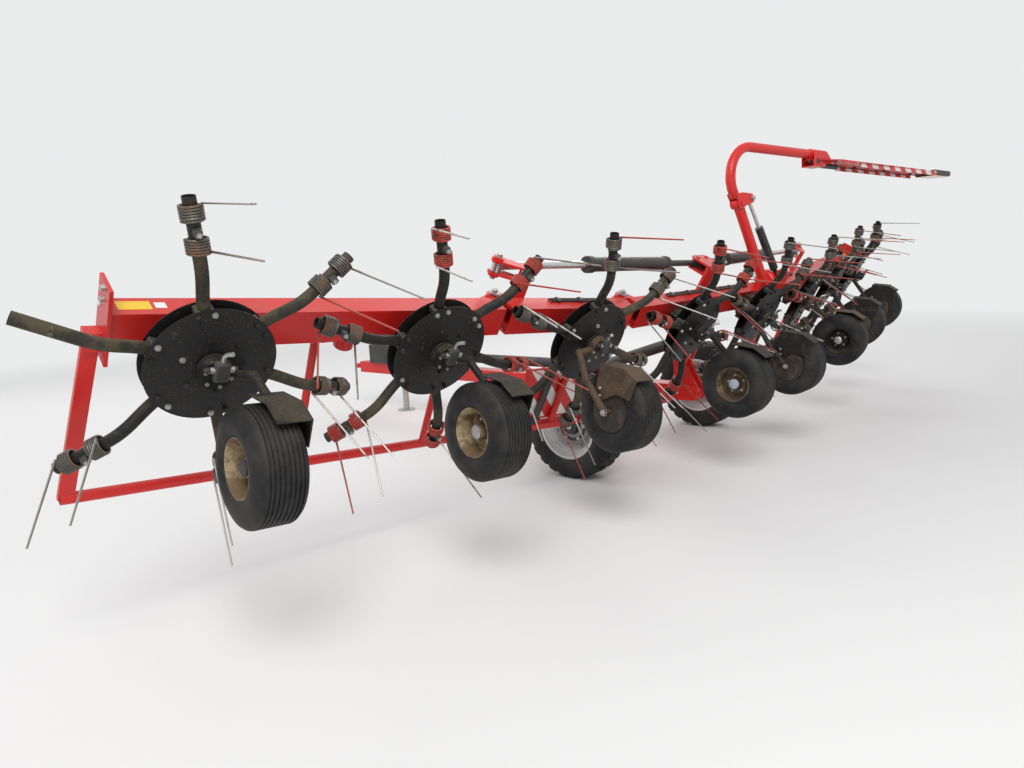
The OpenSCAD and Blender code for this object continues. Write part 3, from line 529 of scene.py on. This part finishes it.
def tine_clamp(shape, arm):
    """The saddle between an arm's two coils."""
    z = arm_height(CLAMP_REACH)
    shape.box((0.548, -0.014, z - 0.050), (0.578, 0.014, z - 0.020), CAST, arm, 0.004)
    shape.bolt((CLAMP_REACH, 0, z - 0.050), (0, 0, -1), 0.009, ZINC, arm)
    shape.bolt((CLAMP_REACH, 0, z + 0.0235), (0, 0, 1), 0.008, ZINC, arm)


def build_rotor(number):
    side, station, phase, _ = ROTORS[number - 1]
    base = station_frame(side, station)
    upright = base @ turn(-90, "Y")
    hand = 1 if number % 2 == 0 else -1
    luck = random.Random(100 + number)
    shape = Shape()
    for low, face in ((0.031, 1), (-0.035, -1)):
        rotor_disc(shape, low, face, upright)
    hub = [(-0.046, 0.031), (-0.048, 0.045), (-0.046, HUB_R), (0.034, HUB_R), (0.040, 0.052), (0.040, 0.031)]
    shape.lathe(hub, CAST, upright, 40)
    end = Vector(ARM_LINE[-1])
    for a in range(6):
        arm = base @ turn(phase + 60 * a, "Z")
        tint = OLIVE if luck.random() < OLIVE_SHARE else SOILED
        shape.tube(rounded(ARM_LINE, 0.06), ARM_R, tint, arm, sides=20, caps=False)
        bore = [end - depth * ARM_ALONG for depth in (0, 0.001, 0.0012, 0.07)]
        shape.tube(bore, [ARM_R, ARM_BORE_R, ARM_BORE_R, ARM_BORE_R], SOILED, arm, 20, caps=False)
        arm_fittings(shape, arm, luck)
        if (number, a) == (BARE_ROTOR, BARE_ARM):
            under = arm_height(CLAMP_REACH) - ARM_R
            shape.bolt((CLAMP_REACH, 0, under), (0, 0, -1), 0.009, TINE_DARK, arm)
            continue
        red_spring = number in RED_SPRINGS and luck.random() < RED_SHARE
        coil_paint, bare = (TINE_RED, BARE_AMONG_RED) if red_spring else (TINE_DARK, BARE_ELSEWHERE)
        for reach in COILS:
            leg_paint = TINE if luck.random() < bare else TINE_RED
            spring_tine(shape, arm, reach, hand, coil_paint, leg_paint, luck.uniform(-1, 1))
        tine_clamp(shape, arm)
    node = "rotor_%d" % number
    shape.make(node + "_dressed", "spinner_%d" % number, [node])


# Wheels

GAUGE_R, GAUGE_BEAD_R, GAUGE_HUB_R = 0.2285, 0.1165, 0.0372
TRANSPORT_R, TRANSPORT_BEAD_R = 0.38, 0.2155
GROOVES = (0.010, 0.028, 0.046, 0.062)


def whole_tyre(half):
    """A tyre's profile from one half, which runs from the tread's middle to the bead."""
    return flipped(half) + half


def build_gauge_wheel(number):
    """A grooved tyre on a dish, with a flat cover on its crank side."""
    side, station, _, leg = ROTORS[number - 1]
    hub = station_frame(side, station) @ shift(leg * WHEEL_HUB[0], *WHEEL_HUB[1:]) @ mirrored(leg)
    shape = Shape()
    r = GAUGE_R
    half = []
    for x in GROOVES:
        half += [(x - 0.003, r), (x - 0.002, r - 0.0045), (x + 0.002, r - 0.0045), (x + 0.003, r)]
    half += [(0.072, r - 0.002), (0.084, r - 0.012), (0.094, r - 0.032), (0.102, r - 0.056),
             (0.104, r - 0.075), (0.101, r - 0.092), (0.095, r - 0.104), (0.0945, r - 0.107),
             (0.090, r - 0.111), (0.084, GAUGE_BEAD_R)]
    shape.lathe(whole_tyre(half), RUBBER, hub, 72)
    rim_paint = {4: RIM_BRONZE, 6: SOILED, 8: SOILED}.get(number, RIM_CREAM)
    rim = [(0.088, GAUGE_BEAD_R), (0.092, 0.1150), (0.092, 0.1120), (0.086, 0.1085), (0.074, 0.1000),
           (0.060, 0.0960), (0.030, 0.0945), (0.012, 0.0940), (0.010, 0.0850), (0.020, 0.0700),
           (0.026, 0.0560), (0.024, 0.0420), (0.024, GAUGE_HUB_R)]
    shape.lathe(rim, COVER, hub, 56)
    cover = [(0.0960, 0.1030), (0.0985, 0.0600), (0.0990, 0.0170), (0.1015, 0.0170), (0.1010, 0.0600),
             (0.0985, 0.1050), (0.0945, GAUGE_BEAD_R), (0.0915, 0.1150)]
    shape.lathe(cover, COVER, hub, 56, closed=True)
    shape.lathe(flipped(rim), rim_paint, hub, 56)
    sleeve = [(0.0615, 0.0155), (0.0615, 0.030), (0.058, 0.0365), (0.020, GAUGE_HUB_R)]
    shape.lathe(sleeve + flipped(sleeve), rim_paint, hub, 32)
    cap_paint = {2: ZINC, 4: CAP, 6: ZINC}.get(number, CAST)
    shape.lathe([(-0.0600, 0.034), (-0.0670, 0.0325), (-0.0715, 0.025), (-0.0720, 0.001)], cap_paint, hub, 28)
    for y, z in around(5, 0.056):
        for s in (1, -1):
            shape.bolt((s * 0.023, y, z), (s, 0, 0), 0.0085, ZINC, hub)
    node = "gauge_wheel_%d" % number
    shape.make(node + "_dressed", "gauge_%d" % number, [node])


def build_transport_tyre(name, hub):
    """A tyre with lugs at its shoulders and nicked ribs between them."""
    shape = Shape()
    r = TRANSPORT_R
    half = [(0.004, r - 0.010), (0.006, r - 0.001), (0.030, r), (0.046, r), (0.048, r - 0.011),
            (0.056, r - 0.011), (0.058, r - 0.001), (0.090, r - 0.004), (0.110, r - 0.016),
            (0.121, r - 0.040), (0.129, r - 0.078), (0.1295, r - 0.100), (0.125, r - 0.122),
            (0.114, r - 0.142), (0.111, r - 0.1435), (0.108, 0.2345), (0.105, TRANSPORT_BEAD_R)]
    ribs, lugs = (1, 2, 3), (6, 7, 8, 9)

    def tread(i, step):
        """Cuts the tread between its lugs, and nicks its ribs."""
        left = i < len(half)
        place = len(half) - 1 - i if left else i - len(half)
        if place in lugs and (step + (2 if left else 0)) % 6 in (0, 1):
            return -0.012
        if place in ribs and step % 6 == 3:
            return -0.006
        return 0
    shape.lathe(whole_tyre(half), RUBBER, hub, 144, tread)
    node = "transport_tyre_" + name
    shape.make(node + "_dressed", "wheel_" + name, [node], 30)


def build_transport_rim(name, hub):
    """A bright ring with a duller dish, its hub, flange and nuts, and black discs of painted shade for its
    holes.
    """
    shape = Shape()
    ring = [(0.108, TRANSPORT_BEAD_R), (0.112, 0.2350), (0.108, 0.2365), (0.104, 0.2330),
            (0.102, 0.2180), (0.090, 0.2080), (0.070, 0.2030), (0.066, 0.1950), (0.046, 0.1900),
            (0.040, 0.1830), (0.020, 0.1800)]
    dish = [(0.020, 0.1800), (0.014, 0.1720), (0.014, 0.1500), (0.030, 0.1330), (0.036, 0.1200),
            (0.036, 0.0700)]
    for line, paint in ((ring, RIM_BRIGHT), (dish, RIM_SILVER)):
        shape.lathe(line, paint, hub, 80)
        shape.lathe(flipped(line), paint, hub, 80)
    sleeve = [(0.075, 0.0255), (0.075, 0.050), (0.070, 0.062), (0.040, 0.070)]
    shape.lathe(sleeve + flipped(sleeve), BLACK, hub, 40)
    for s in (1, -1):
        flange = [(s * 0.0365, 0.118), (s * 0.040, 0.116), (s * 0.040, 0.098), (s * 0.0365, 0.094)]
        shape.lathe(flange, BLACK, hub, 48)
        for y, z in around(6, 0.107):
            shape.bolt((s * 0.040, y, z), (s, 0, 0), 0.012, ZINC, hub)
        # Thin black discs on the dish: painted shade where its holes are
        for y, z in around(8, 0.161, math.pi / 8):
            shape.tube([(s * 0.0140, y, z), (s * 0.0146, y, z)], 0.009, BLACK_PLASTIC_AND_HOLE_SHADE, hub, 12)
    node = "transport_rim_" + name
    shape.make(node + "_dressed", "wheel_" + name, [node])


# Supports, with the crank, gear housing and wheel leg under each rotor

def build_support(number, shape):
    side, station, _, leg = ROTORS[number - 1]
    base = station_frame(side, station) @ mirrored(leg)
    knuckle_face, knuckle_ring, housing_face, housing_ring, ribs = -0.104, 0.052, 0.0915, 0.074, 8
    for (x0, y0), (x1, y1) in zip(around(6, knuckle_ring, 0.3), around(6, housing_ring, 0.3)):
        shape.bolt((x0, y0, knuckle_face), (0, 0, -1), 0.0075, ZINC, base)
        shape.bolt((x1, y1, housing_face), (0, 0, -1), 0.0085, CAST, base)
    for k in range(ribs):
        rib = base @ turn(360 / ribs * k + 22, "Z")
        shape.box((0.080, -0.006, 0.094), (0.108, 0.006, 0.146), CAST, rib, 0.002)
    shape.box((-0.030, -0.075, -0.140), (0.030, 0.010, -0.106), CAST, base, 0.008)
    crank_y, crank_z = -0.040, -0.123
    crank = [(0, -0.060, crank_z), (0, -0.105, crank_z), (0.02, -0.125, -0.150)]
    shape.tube(rounded(crank, 0.02), 0.009, ZINC, base, 12)
    shape.tube([(-0.045, crank_y, crank_z), (0.045, crank_y, crank_z)], 0.013, ZINC, base, 16)
    for x, d in ((-0.052, -1), (0.045, 1)):
        shape.bolt((x, crank_y, crank_z), (d, 0, 0), 0.012, CAST, base)
    wheel = base @ shift(*WHEEL_HUB)
    shape.bolt((0.136, 0, 0), (1, 0, 0), 0.018, ZINC, wheel)
    for y, z in ((-0.05, 0.085), (-0.085, 0.105)):
        shape.bolt((0.117, y, z), (1, 0, 0), 0.008, ZINC, wheel)


# Boards and lamps

STRUT_FALL = math.atan2(BEAM_MID - RAIL_Z, RAIL_Y - BEAM_FRONT)
FOOT_T, FOOT_BOLTS = 0.0143, 0.028


def foot_bolts(shape, x, beam):
    """The four bolts of a strut's foot on a beam's front face."""
    for u in (-FOOT_BOLTS, FOOT_BOLTS):
        for v in (-FOOT_BOLTS, FOOT_BOLTS):
            shape.bolt((x + u, BEAM_FRONT + FOOT_T, BEAM_MID + v), (0, 1, 0), 0.007, ZINC, beam)


def build_marker_board(name):
    """The low rail with its two struts, and the striped board that leans on them."""
    wing = wing_frame(SIDES[name])
    shape = Shape()
    x0, x1 = SPACING + 0.08, SPACING + 0.58
    y0, z0 = RAIL_Y - 0.025, RAIL_Z - 0.022
    shape.box((x0, y0, z0), (x1, RAIL_Y + 0.025, z0 + 0.008), RED, wing, 0.002)
    shape.box((x0, y0, z0), (x1, y0 + 0.008, RAIL_Z + 0.022), RED, wing, 0.002)
    for top, foot, paint in ((SPACING + 0.35, SPACING + 0.355, RED), (SPACING + 0.47, SPACING + 0.51, BLACK)):
        strut = [(top, BEAM_FRONT + 0.010, BEAM_MID), (foot, RAIL_Y, RAIL_Z)]
        shape.tube(strut, 0.022, paint, wing, 20)
        low = (top - 0.04, BEAM_FRONT + 0.0003, BEAM_MID - 0.04)
        shape.box(low, (top + 0.04, BEAM_FRONT + FOOT_T, BEAM_MID + 0.04), RED, wing, 0.003)
        foot_bolts(shape, top, wing)
    slant = wing @ shift(SPACING + 0.16, BEAM_FRONT, BEAM_MID) @ Matrix.Rotation(-STRUT_FALL, 4, "X")
    wide, near, far, z = 0.53, 0.30, 0.67, 0.0215
    shape.board((0, near, z), (wide, far, z + 0.004), BOARD, slant)
    lip, cover = 0.004, 0.010
    edges = [(-lip, near - lip, wide + lip, near + cover), (-lip, far - cover, wide + lip, far + lip),
             (-lip, near - lip, cover, far + lip), (wide - cover, near - lip, wide + lip, far + lip)]
    for left, low, right, high in edges:
        shape.box((left, low, z - 0.002), (right, high, z + 0.007), BOARD_EDGE, slant, 0.002)
    for x, y in ((0.19, 0.35), (0.19, 0.62), (0.33, 0.35), (0.345, 0.62)):
        shape.bolt((x, y, z + 0.004), (0, 0, 1), 0.006, ZINC, slant)
    node = "marker_board_" + name
    shape.make(node + "_dressed", "wing_" + name, [node])


BOOM_PIN = Vector((-0.262, 0, 1.900))
BEND_AT = Vector((-0.119, 0, 2.100))
RAM_EYE = Vector((-0.136, 0, 1.940))
BEND_R, BEND_END = 0.230, 88.5
BOOM_R, TOP_RUN = 0.038, 1.0
# The tray's underside and far end, from the pipe's end on
TRAY_LOW, TRAY_END = -0.050, 1.85


def bend_point(degrees):
    a = math.radians(degrees)
    return BEND_AT + BEND_R * Vector((math.cos(a), 0, math.sin(a)))


def build_boom():
    """The bent pipe with its two plates at the pin. Gives the place of its end."""
    to_pin = BOOM_PIN - BEND_AT
    pin_angle = math.degrees(math.atan2(to_pin.z, to_pin.x))
    bend_start = 360 + pin_angle - math.degrees(math.acos(BEND_R / to_pin.length))
    start = bend_point(bend_start)
    run = Vector((math.sin(math.radians(BEND_END)), 0, -math.cos(math.radians(BEND_END))))
    end = bend_point(BEND_END) + TOP_RUN * run
    shape = Shape()
    steps = 26
    path = [BOOM_PIN + 0.064 * (start - BOOM_PIN).normalized()]
    path += [bend_point(bend_start + (BEND_END - bend_start) * k / steps) for k in range(steps + 1)]
    path += [end]
    shape.tube(path, BOOM_R, RED_CLEAN, BOOM, 28)
    round_pin = [(-0.042, 0.016), (-0.043, -0.012), (-0.022, -0.039), (0.012, -0.043), (0.038, -0.022)]
    round_eye = [(0.012, -0.032), (0.032, -0.012), (0.033, 0.010), (-0.004, 0.034)]
    outline = [(BOOM_PIN.x + x, BOOM_PIN.z + z) for x, z in round_pin]
    outline += [(RAM_EYE.x + x, RAM_EYE.z + z) for x, z in round_eye]
    outline += [(start.x + 0.060, start.z + 0.010), (start.x - 0.030, start.z)]
    for y, d in ((-0.032, -1), (0.044, 1)):
        shape.plate(outline, 0.012, RED_CLEAN, BOOM @ shift(0, y, 0) @ turn(90, "X"))
        shape.bolt((RAM_EYE.x, 0.044 * d, RAM_EYE.z), (0, d, 0), 0.018, ZINC, BOOM)
    shape.make("gooseneck_dressed", "boom", ["gooseneck"])
    return end


def carrier_tray(shape, carrier):
    """The socket on the pipe's end, and the tapered tray with its cheeks, upright boards and lips."""
    low, length = TRAY_LOW, TRAY_END
    socket_ends = [(x, 0, 0) for x in (-0.20, -0.198, 0.018, 0.02)]
    shape.tube(socket_ends, [0.042, 0.044, 0.044, 0.042], RED_CLEAN, carrier, 28)
    tray = [(-0.20, -0.04), (0.06, -0.15), (length, -0.12), (length, 0.12), (0.06, 0.15), (-0.20, 0.04)]
    shape.plate(tray, 0.005, RED_CLEAN, carrier @ shift(0, 0, low), 0.001)
    cheek = [(-0.205, low - 0.052), (-0.040, low - 0.052), (-0.030, low - 0.030), (0.060, low - 0.016),
             (0.060, low + 0.006), (-0.020, 0.026), (-0.205, 0.026)]
    for s in (-1, 1):
        shape.plate(cheek, 0.006, RED_CLEAN, carrier @ shift(0, s * 0.056 + 0.003, 0) @ turn(90, "X"), 0.001)
        # A thin black disc on each cheek: painted shade where the hole is
        hole_shade = [(-0.150, s * 0.0592, low - 0.010), (-0.150, s * 0.0604, low - 0.010)]
        shape.tube(hole_shade, 0.024, BLACK_PLASTIC_AND_HOLE_SHADE, carrier, 24)
        shape.bolt((-0.070, s * 0.059, low - 0.035), (0, s, 0), 0.009, ZINC, carrier)
        upright = carrier @ shift(0, s * 0.1235 + 0.0015, low) @ turn(90, "X")
        shape.board((0.42, -0.034, 0), (length - 0.04, 0.010, 0.003), BOARD, upright)
        lip = [(0.06, s * 0.146 - 0.003, low - 0.014), (0.30, s * 0.146 + 0.003, low + 0.004)]
        shape.box(*lip, RED_CLEAN, carrier, 0.001)


def carrier_fittings(shape, carrier):
    """The flat board with its edges, the floor plate, the tray's tube and bolts, a black disc of painted
    shade for a hole, and a blank label.
    """
    low, length = TRAY_LOW, TRAY_END
    shape.board((0.52, -0.11, low + 0.0053), (length - 0.04, 0.11, low + 0.0083), BOARD, carrier)
    shape.box((-0.200, -0.053, low - 0.052), (-0.045, 0.053, low - 0.046), RED_CLEAN, carrier, 0.001)
    tube_ends = [(x, 0.0, low - 0.030) for x in (-0.02, -0.018, 0.225, 0.23)]
    shape.tube(tube_ends, [0.020, 0.022, 0.022, 0.018], BLACK_PLASTIC_AND_HOLE_SHADE, carrier, 20)
    for s in (-1, 1):
        edge = [(0.512, s * 0.112 - 0.006, low + 0.004), (length - 0.03, s * 0.112 + 0.006, low + 0.012)]
        shape.box(*edge, BOARD_EDGE, carrier, 0.002)
    for x in (-0.15, -0.05):
        for s in (-1, 1):
            shape.bolt((x, s * 0.020, low), (0, 0, -1), 0.009, ZINC, carrier)
    for x in (0.20, 0.34, 0.46):
        for s in (-1, 1):
            shape.bolt((x, s * 0.09, low), (0, 0, -1), 0.008, ZINC, carrier)
            shape.bolt((x, s * 0.09, low + 0.005), (0, 0, 1), 0.008, ZINC, carrier)
    # A thin black disc on the tray: painted shade where its hole is
    shape.tube([(0.06, 0, low + 0.0052), (0.06, 0, low + 0.0058)], 0.030, BLACK_PLASTIC_AND_HOLE_SHADE, carrier, 28)
    shape.box((0.12, -0.05, low + 0.005), (0.24, 0.05, low + 0.006), WHITE, carrier, 0.0004)


def carrier_lamps(shape, carrier):
    """The lamp's case on the tray's end with its two lenses below, and the cable to it in clips."""
    low, length = TRAY_LOW, TRAY_END
    case = [(length - 0.005, -0.100, low - 0.020), (length + 0.325, 0.100, low + 0.030)]
    shape.box(*case, BLACK_PLASTIC_AND_HOLE_SHADE, carrier, 0.006)
    for near, far, paint in ((0.012, 0.112, LAMP_AMBER), (0.116, 0.300, LAMP_RED)):
        lens = [(length + near, -0.094, low - 0.026), (length + far, 0.094, low - 0.018)]
        shape.box(*lens, paint, carrier, 0.003)
    cable = [(0.30, 0.05, low - 0.004), (0.42, 0.055, low - 0.020), (0.62, 0.05, low - 0.010),
             (0.86, 0.055, low - 0.022), (1.15, 0.05, low - 0.010), (1.45, 0.055, low - 0.022),
             (length - 0.02, 0.05, low - 0.010)]
    shape.tube(rounded(cable, 0.1, 5), 0.0045, HOSE, carrier, 10)
    for x in (0.30, 0.62, 1.15, 1.66):
        shape.box((x - 0.006, 0.042, low - 0.012), (x + 0.006, 0.064, low), BLACK_PLASTIC_AND_HOLE_SHADE, carrier, 0.002)


def build_lamp_carrier(end):
    carrier = BOOM @ Matrix.Translation(end) @ turn(90 - BEND_END, "Y")
    shape = Shape()
    carrier_tray(shape, carrier)
    carrier_fittings(shape, carrier)
    carrier_lamps(shape, carrier)
    shape.make("lamp_carrier_dressed", "boom", ["lamp_carrier"])


# Beams' small parts

def clamped_pipes(shape, start, end, beam):
    """Two steel pipes along a beam's rear face, under clamps."""
    y = BEAM_BACK - 0.009
    for z in (BEAM_MID + 0.012, BEAM_MID + 0.032):
        path = [(start, y + 0.012, z), (start, y, z), (end, y, z), (end, y + 0.012, z)]
        shape.tube(rounded(path, 0.008, 4), 0.006, BLACK, beam, 12)
    front, back = BEAM_BACK, BEAM_BACK - 0.018
    clamps = 2 + int((end - start) / 0.45)
    for k in range(clamps):
        x = start + 0.06 + k * (end - start - 0.12) / (clamps - 1)
        clamp = [(x - 0.014, back, BEAM_MID), (x + 0.014, front, BEAM_MID + 0.044)]
        shape.box(*clamp, BLACK_PLASTIC_AND_HOLE_SHADE, beam, 0.003)
        shape.bolt((x, back, BEAM_MID + 0.022), (0, -1, 0), 0.006, ZINC, beam)


def hinge_pin(shape, x, beam):
    """The ends of a folding hinge's pin on both faces of a beam."""
    for y, d in ((BEAM_BACK - 0.006, -1), (BEAM_FRONT + 0.006, 1)):
        shape.tube([(x, y, PIN_Z), (x, y + 0.008 * d, PIN_Z)], 0.031, ZINC, beam, 24)
        shape.bolt((x, y + 0.008 * d, PIN_Z), (0, d, 0), 0.017, ZINC, beam, False)


def build_outer_trim(name, wing):
    """A black sheet of painted shade for the end plate's hole, the plate's cap and bolts, blank labels, the
    guard rail's foot bolts and a boss's plug.
    """
    shape = Shape()
    x = END_PLATE + 0.0132
    for y in (BEAM_BACK - 0.075, BEAM_BACK - 0.03):
        shape.bolt((x, y, BEAM_MID), (1, 0, 0), 0.014, ZINC, wing)
    # A thin black sheet on the end plate: painted shade where its hole is
    low = (x - 0.0005, BEAM_BACK + 0.035, BEAM_MID - 0.035)
    shape.box(low, (x + 0.0008, BEAM_BACK + 0.100, BEAM_MID + 0.035), BLACK_PLASTIC_AND_HOLE_SHADE, wing, 0.0003)
    cap_y, cap_z = BEAM_BACK + 0.012, BEAM_MID + 0.045
    shape.tube([(x, cap_y, cap_z), (x + 0.006, cap_y, cap_z)], 0.011, WHITE, wing, 20)
    for x0, x1, z0, z1, paint in ((0.150, 0.030, 0.035, 0.095, YELLOW), (0.205, 0.163, 0.045, 0.085, WHITE)):
        low = (END_PLATE - x0, BEAM_BACK - 0.0008, BEAM_LOW + z0)
        shape.box(low, (END_PLATE - x1, BEAM_BACK + 0.0002, BEAM_LOW + z1), paint, wing, 0.0003)
    for foot in (HINGE_B + 0.31, 2.5 * SPACING + 0.525):
        foot_bolts(shape, foot, wing)
    boss = 2.5 * SPACING + 0.375
    plug = [(boss, BEAM_FRONT + 0.062, BEAM_MID), (boss, BEAM_FRONT + 0.068, BEAM_MID)]
    shape.tube(plug, 0.040, BLACK_PLASTIC_AND_HOLE_SHADE, wing, 32)
    shape.make("beam_trim_outer_" + name, "tip_" + name)


def build_inner_trim(name, wing):
    """The outer hinge's pin, the bolts at the folding cylinder's eye, and two clamped pipes."""
    shape = Shape()
    hinge_pin(shape, HINGE_B, wing)
    for y, d in ((-0.315, -1), (-0.205, 1)):
        shape.bolt((HINGE_B, y, 0.370), (0, d, 0), 0.018, ZINC, wing)
    clamped_pipes(shape, SPACING + 0.22, HINGE_B - 0.36, wing)
    shape.make("beam_trim_inner_" + name, "wing_" + name)


def build_centre_trim():
    """The inner hinges' pins, the folding bracket's bolts, and clamped pipes to each side."""
    shape = Shape()
    for side in SIDES.values():
        half = ROW @ mirrored(side)
        hinge_pin(shape, SPACING, half)
        for x in (0.035, 0.095):
            for y in (-0.09, 0.01):
                shape.bolt((x, y, BEAM_TOP + 0.0203), (0, 0, 1), 0.009, ZINC, half)
        clamped_pipes(shape, 0.04, 0.62, half)
    shape.make("beam_trim_centre", "row")


def build_hood():
    """The rounded cover over the boom's valve, beside the post on the centre beam."""
    shape = Shape()
    left, right, back, front, low, top = 0.872, 1.032, -0.250, -0.146, 0.125, 0.290
    rings = []
    for x, inset in ((left, 0.022), (left + 0.006, 0.008), (left + 0.020, 0.0),
                     (right - 0.020, 0.0), (right - 0.006, 0.008), (right, 0.022)):
        corners = [(x, front, low), (x, front, top), (x, back + 0.03 + inset, top),
                   (x, back + inset, top - 0.05 - inset), (x, back + inset, low + 0.06 + inset),
                   (x, back + 0.04 + inset, low)]
        rings.append(rounded(corners, 0.02, 3))
    shape.loops(rings, RED_CLEAN, ROW)
    shape.box((0.905, back - 0.0006, low + 0.068), (1.000, back + 0.0004, top - 0.058), WHITE, ROW, 0.0003)
    for x in (0.888, 1.016):
        for z, d in ((low + 0.02, -1), (top - 0.02, 1)):
            shape.bolt((x, back + 0.06, z), (0, 0, d), 0.006, ZINC, ROW)
    shape.make("valve_hood", "row")


def build_cylinder_trim(name):
    """Gland, end ring, ports and pipe on a folding cylinder, whose barrel runs along x."""
    base = ROW @ mirrored(SIDES[name]) @ shift(0.06, -0.26, 0.405) @ turn(-3.045, "Y")
    shape = Shape()
    gland = [(1.235, 0.0470), (1.235, 0.0520), (1.240, 0.0530), (1.2855, 0.0530), (1.2900, 0.0500),
             (1.2900, 0.0240)]
    shape.lathe(gland, BLACK, base, 40)
    shape.lathe([(0.400, 0.0470), (0.402, 0.0510), (0.430, 0.0510), (0.432, 0.0470)], BLACK, base, 40)
    rear_port, front_port, beside, over = 0.47, 1.20, 0.020, 0.056
    for x in (rear_port, front_port):
        shape.tube([(x, 0.0, 0.044), (x, 0.0, 0.066)], 0.013, ZINC, base, 14)
        shape.bolt((x, 0.0, 0.062), (0, 0, 1), 0.012, ZINC, base, False)
    pipe = [(front_port, 0.0, 0.078), (1.16, 0.0, 0.080), (1.10, beside, over), (0.62, beside, over),
            (0.50, beside, over), (rear_port, 0.0, 0.078)]
    shape.tube(rounded(pipe, 0.03, 4), 0.0065, ZINC, base, 10)
    shape.make("fold_cylinder_trim_" + name, "fold_cylinder_" + name)


def dress_nodes():
    """Gives every solid that stays its own finish."""
    nodes = {RED: ["axle_beam", "spine", "hitch_eye", "lift_frame", "centre_beam", "fold_bracket"],
             RED_CLEAN: ["boom_post"],
             BLACK: ["drive_line", "jack_tube", "boom_barrel", "lift_barrel"],
             ZINC: ["stub_axles", "jack_leg"],
             ROD: ["boom_rod", "lift_rod"],
             FENDER: []}
    for name in SIDES:
        nodes[RED] += ["inner_beam_" + name, "outer_beam_" + name, "guard_rail_" + name]
        nodes[BLACK].append("fold_barrel_" + name)
        nodes[ROD].append("fold_rod_" + name)
        nodes[FENDER].append("supports_inner_" + name)
    finishes = {node: finish for finish, names in nodes.items() for node in names}
    for node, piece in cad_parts.items():
        piece.data.materials.clear()
        piece.data.materials.append(finishes.get(node, SOILED))
        piece.data.polygons.foreach_set("material_index", [0] * len(piece.data.polygons))


# Stage

PALE = (0.83, 0.835, 0.84, 1)
FLOOR_HALF, FADE_FROM, FADE_TO = 60, 6.0, 15.0
# Each lamp's name, place, size and power
LAMPS = [("key", (-7, -7, 8), 5, 720), ("side", (8, 4, 7), 7, 330), ("front", (-4, 8, 6), 6, 210)]
LIT_PLACE = Vector((0, -0.8, 0.8))
SKY, SKY_STRENGTH = (0.93, 0.95, 1.0, 1), 0.56


def build_floor():
    """A pale floor that runs out into the pale surround, and keeps the shadow near the machine."""
    f = Finish("pale_floor", Roughness=0.75)
    f.shader.inputs["Base Color"].default_value = (0.80, 0.79, 0.77, 1)
    where = f.node("ShaderNodeTexCoord", out="Object")
    spread = f.node("ShaderNodeVectorMath", {0: where}, out="Value", operation="LENGTH")
    glow = f.node("ShaderNodeEmission", {"Color": PALE})
    faded = spread.above(FADE_FROM, FADE_TO) * f.seen()
    f.surface("Material Output", faded, Signal(f, f.shader.outputs[0]), glow)
    mesh = bpy.data.meshes.new("floor")
    corners = [(x * FLOOR_HALF, y * FLOOR_HALF, 0) for x, y in ((-1, -1), (1, -1), (1, 1), (-1, 1))]
    mesh.from_pydata(corners, [], [(0, 1, 2, 3)])
    mesh.materials.append(f.material)
    link("floor", mesh)


def build_light():
    """Soft lamps and a soft sky, with a pale surround behind everything."""
    world = bpy.data.worlds.new("studio")
    bpy.context.scene.world = world
    world.use_nodes = True
    air = Nodes(world.node_tree)
    sky = air.node("ShaderNodeBackground", {"Color": SKY, "Strength": SKY_STRENGTH})
    surround = air.node("ShaderNodeBackground", {"Color": PALE})
    air.surface("World Output", air.seen(), sky, surround)
    for name, at, size, power in LAMPS:
        lamp = bpy.data.lights.new(name, "AREA")
        lamp.size, lamp.energy = size, power
        holder = link(name, lamp)
        holder.location = at
        holder.rotation_euler = (LIT_PLACE - Vector(at)).to_track_quat("-Z", "Y").to_euler()


CAMERA_AT = (-5.07 + MID_X, -2.43 + ROW_Y, 1.52)
YAW, PITCH, ROLL = math.radians(47.8), math.radians(9.1), math.radians(-3.18)
LENS, SENSOR = 25.84, 36


def build_camera():
    """Where the photograph was taken from, past the left end of the row."""
    ahead = Vector((math.sin(YAW) * math.cos(PITCH), math.cos(YAW) * math.cos(PITCH), -math.sin(PITCH)))
    level = Vector((math.cos(YAW), -math.sin(YAW), 0))
    high = level.cross(ahead)
    right = level * math.cos(ROLL) + high * math.sin(ROLL)
    up = high * math.cos(ROLL) - level * math.sin(ROLL)
    lens = bpy.data.cameras.new("photo_camera")
    lens.lens, lens.sensor_width = LENS, SENSOR
    turned = Matrix((right, up, -ahead)).transposed().to_4x4()
    holder = link("photo_camera", lens)
    holder.matrix_world = Matrix.Translation(CAMERA_AT) @ turned
    bpy.context.scene.camera = holder


build_camera()
dress_nodes()
for number in range(1, len(ROTORS) + 1):
    build_rotor(number)
    build_gauge_wheel(number)
for name, side in SIDES.items():
    axle_end = shift(MID_X + side * TRACK / 2, AXLE_Y, AXLE_Z) @ mirrored(side)
    build_transport_tyre(name, axle_end)
    build_transport_rim(name, axle_end)
    build_marker_board(name)
for body, numbers in CARRIED.items():
    trim = Shape()
    for number in numbers:
        build_support(number, trim)
    trim.make("support_trim_" + body, body)
build_lamp_carrier(build_boom())
for name, side in SIDES.items():
    build_outer_trim(name, wing_frame(side))
    build_inner_trim(name, wing_frame(side))
build_centre_trim()
build_hood()
for name in SIDES:
    build_cylinder_trim(name)
build_floor()
build_light()
bpy.context.scene.view_settings.view_transform = "Standard"

bpy.context.view_layer.update()
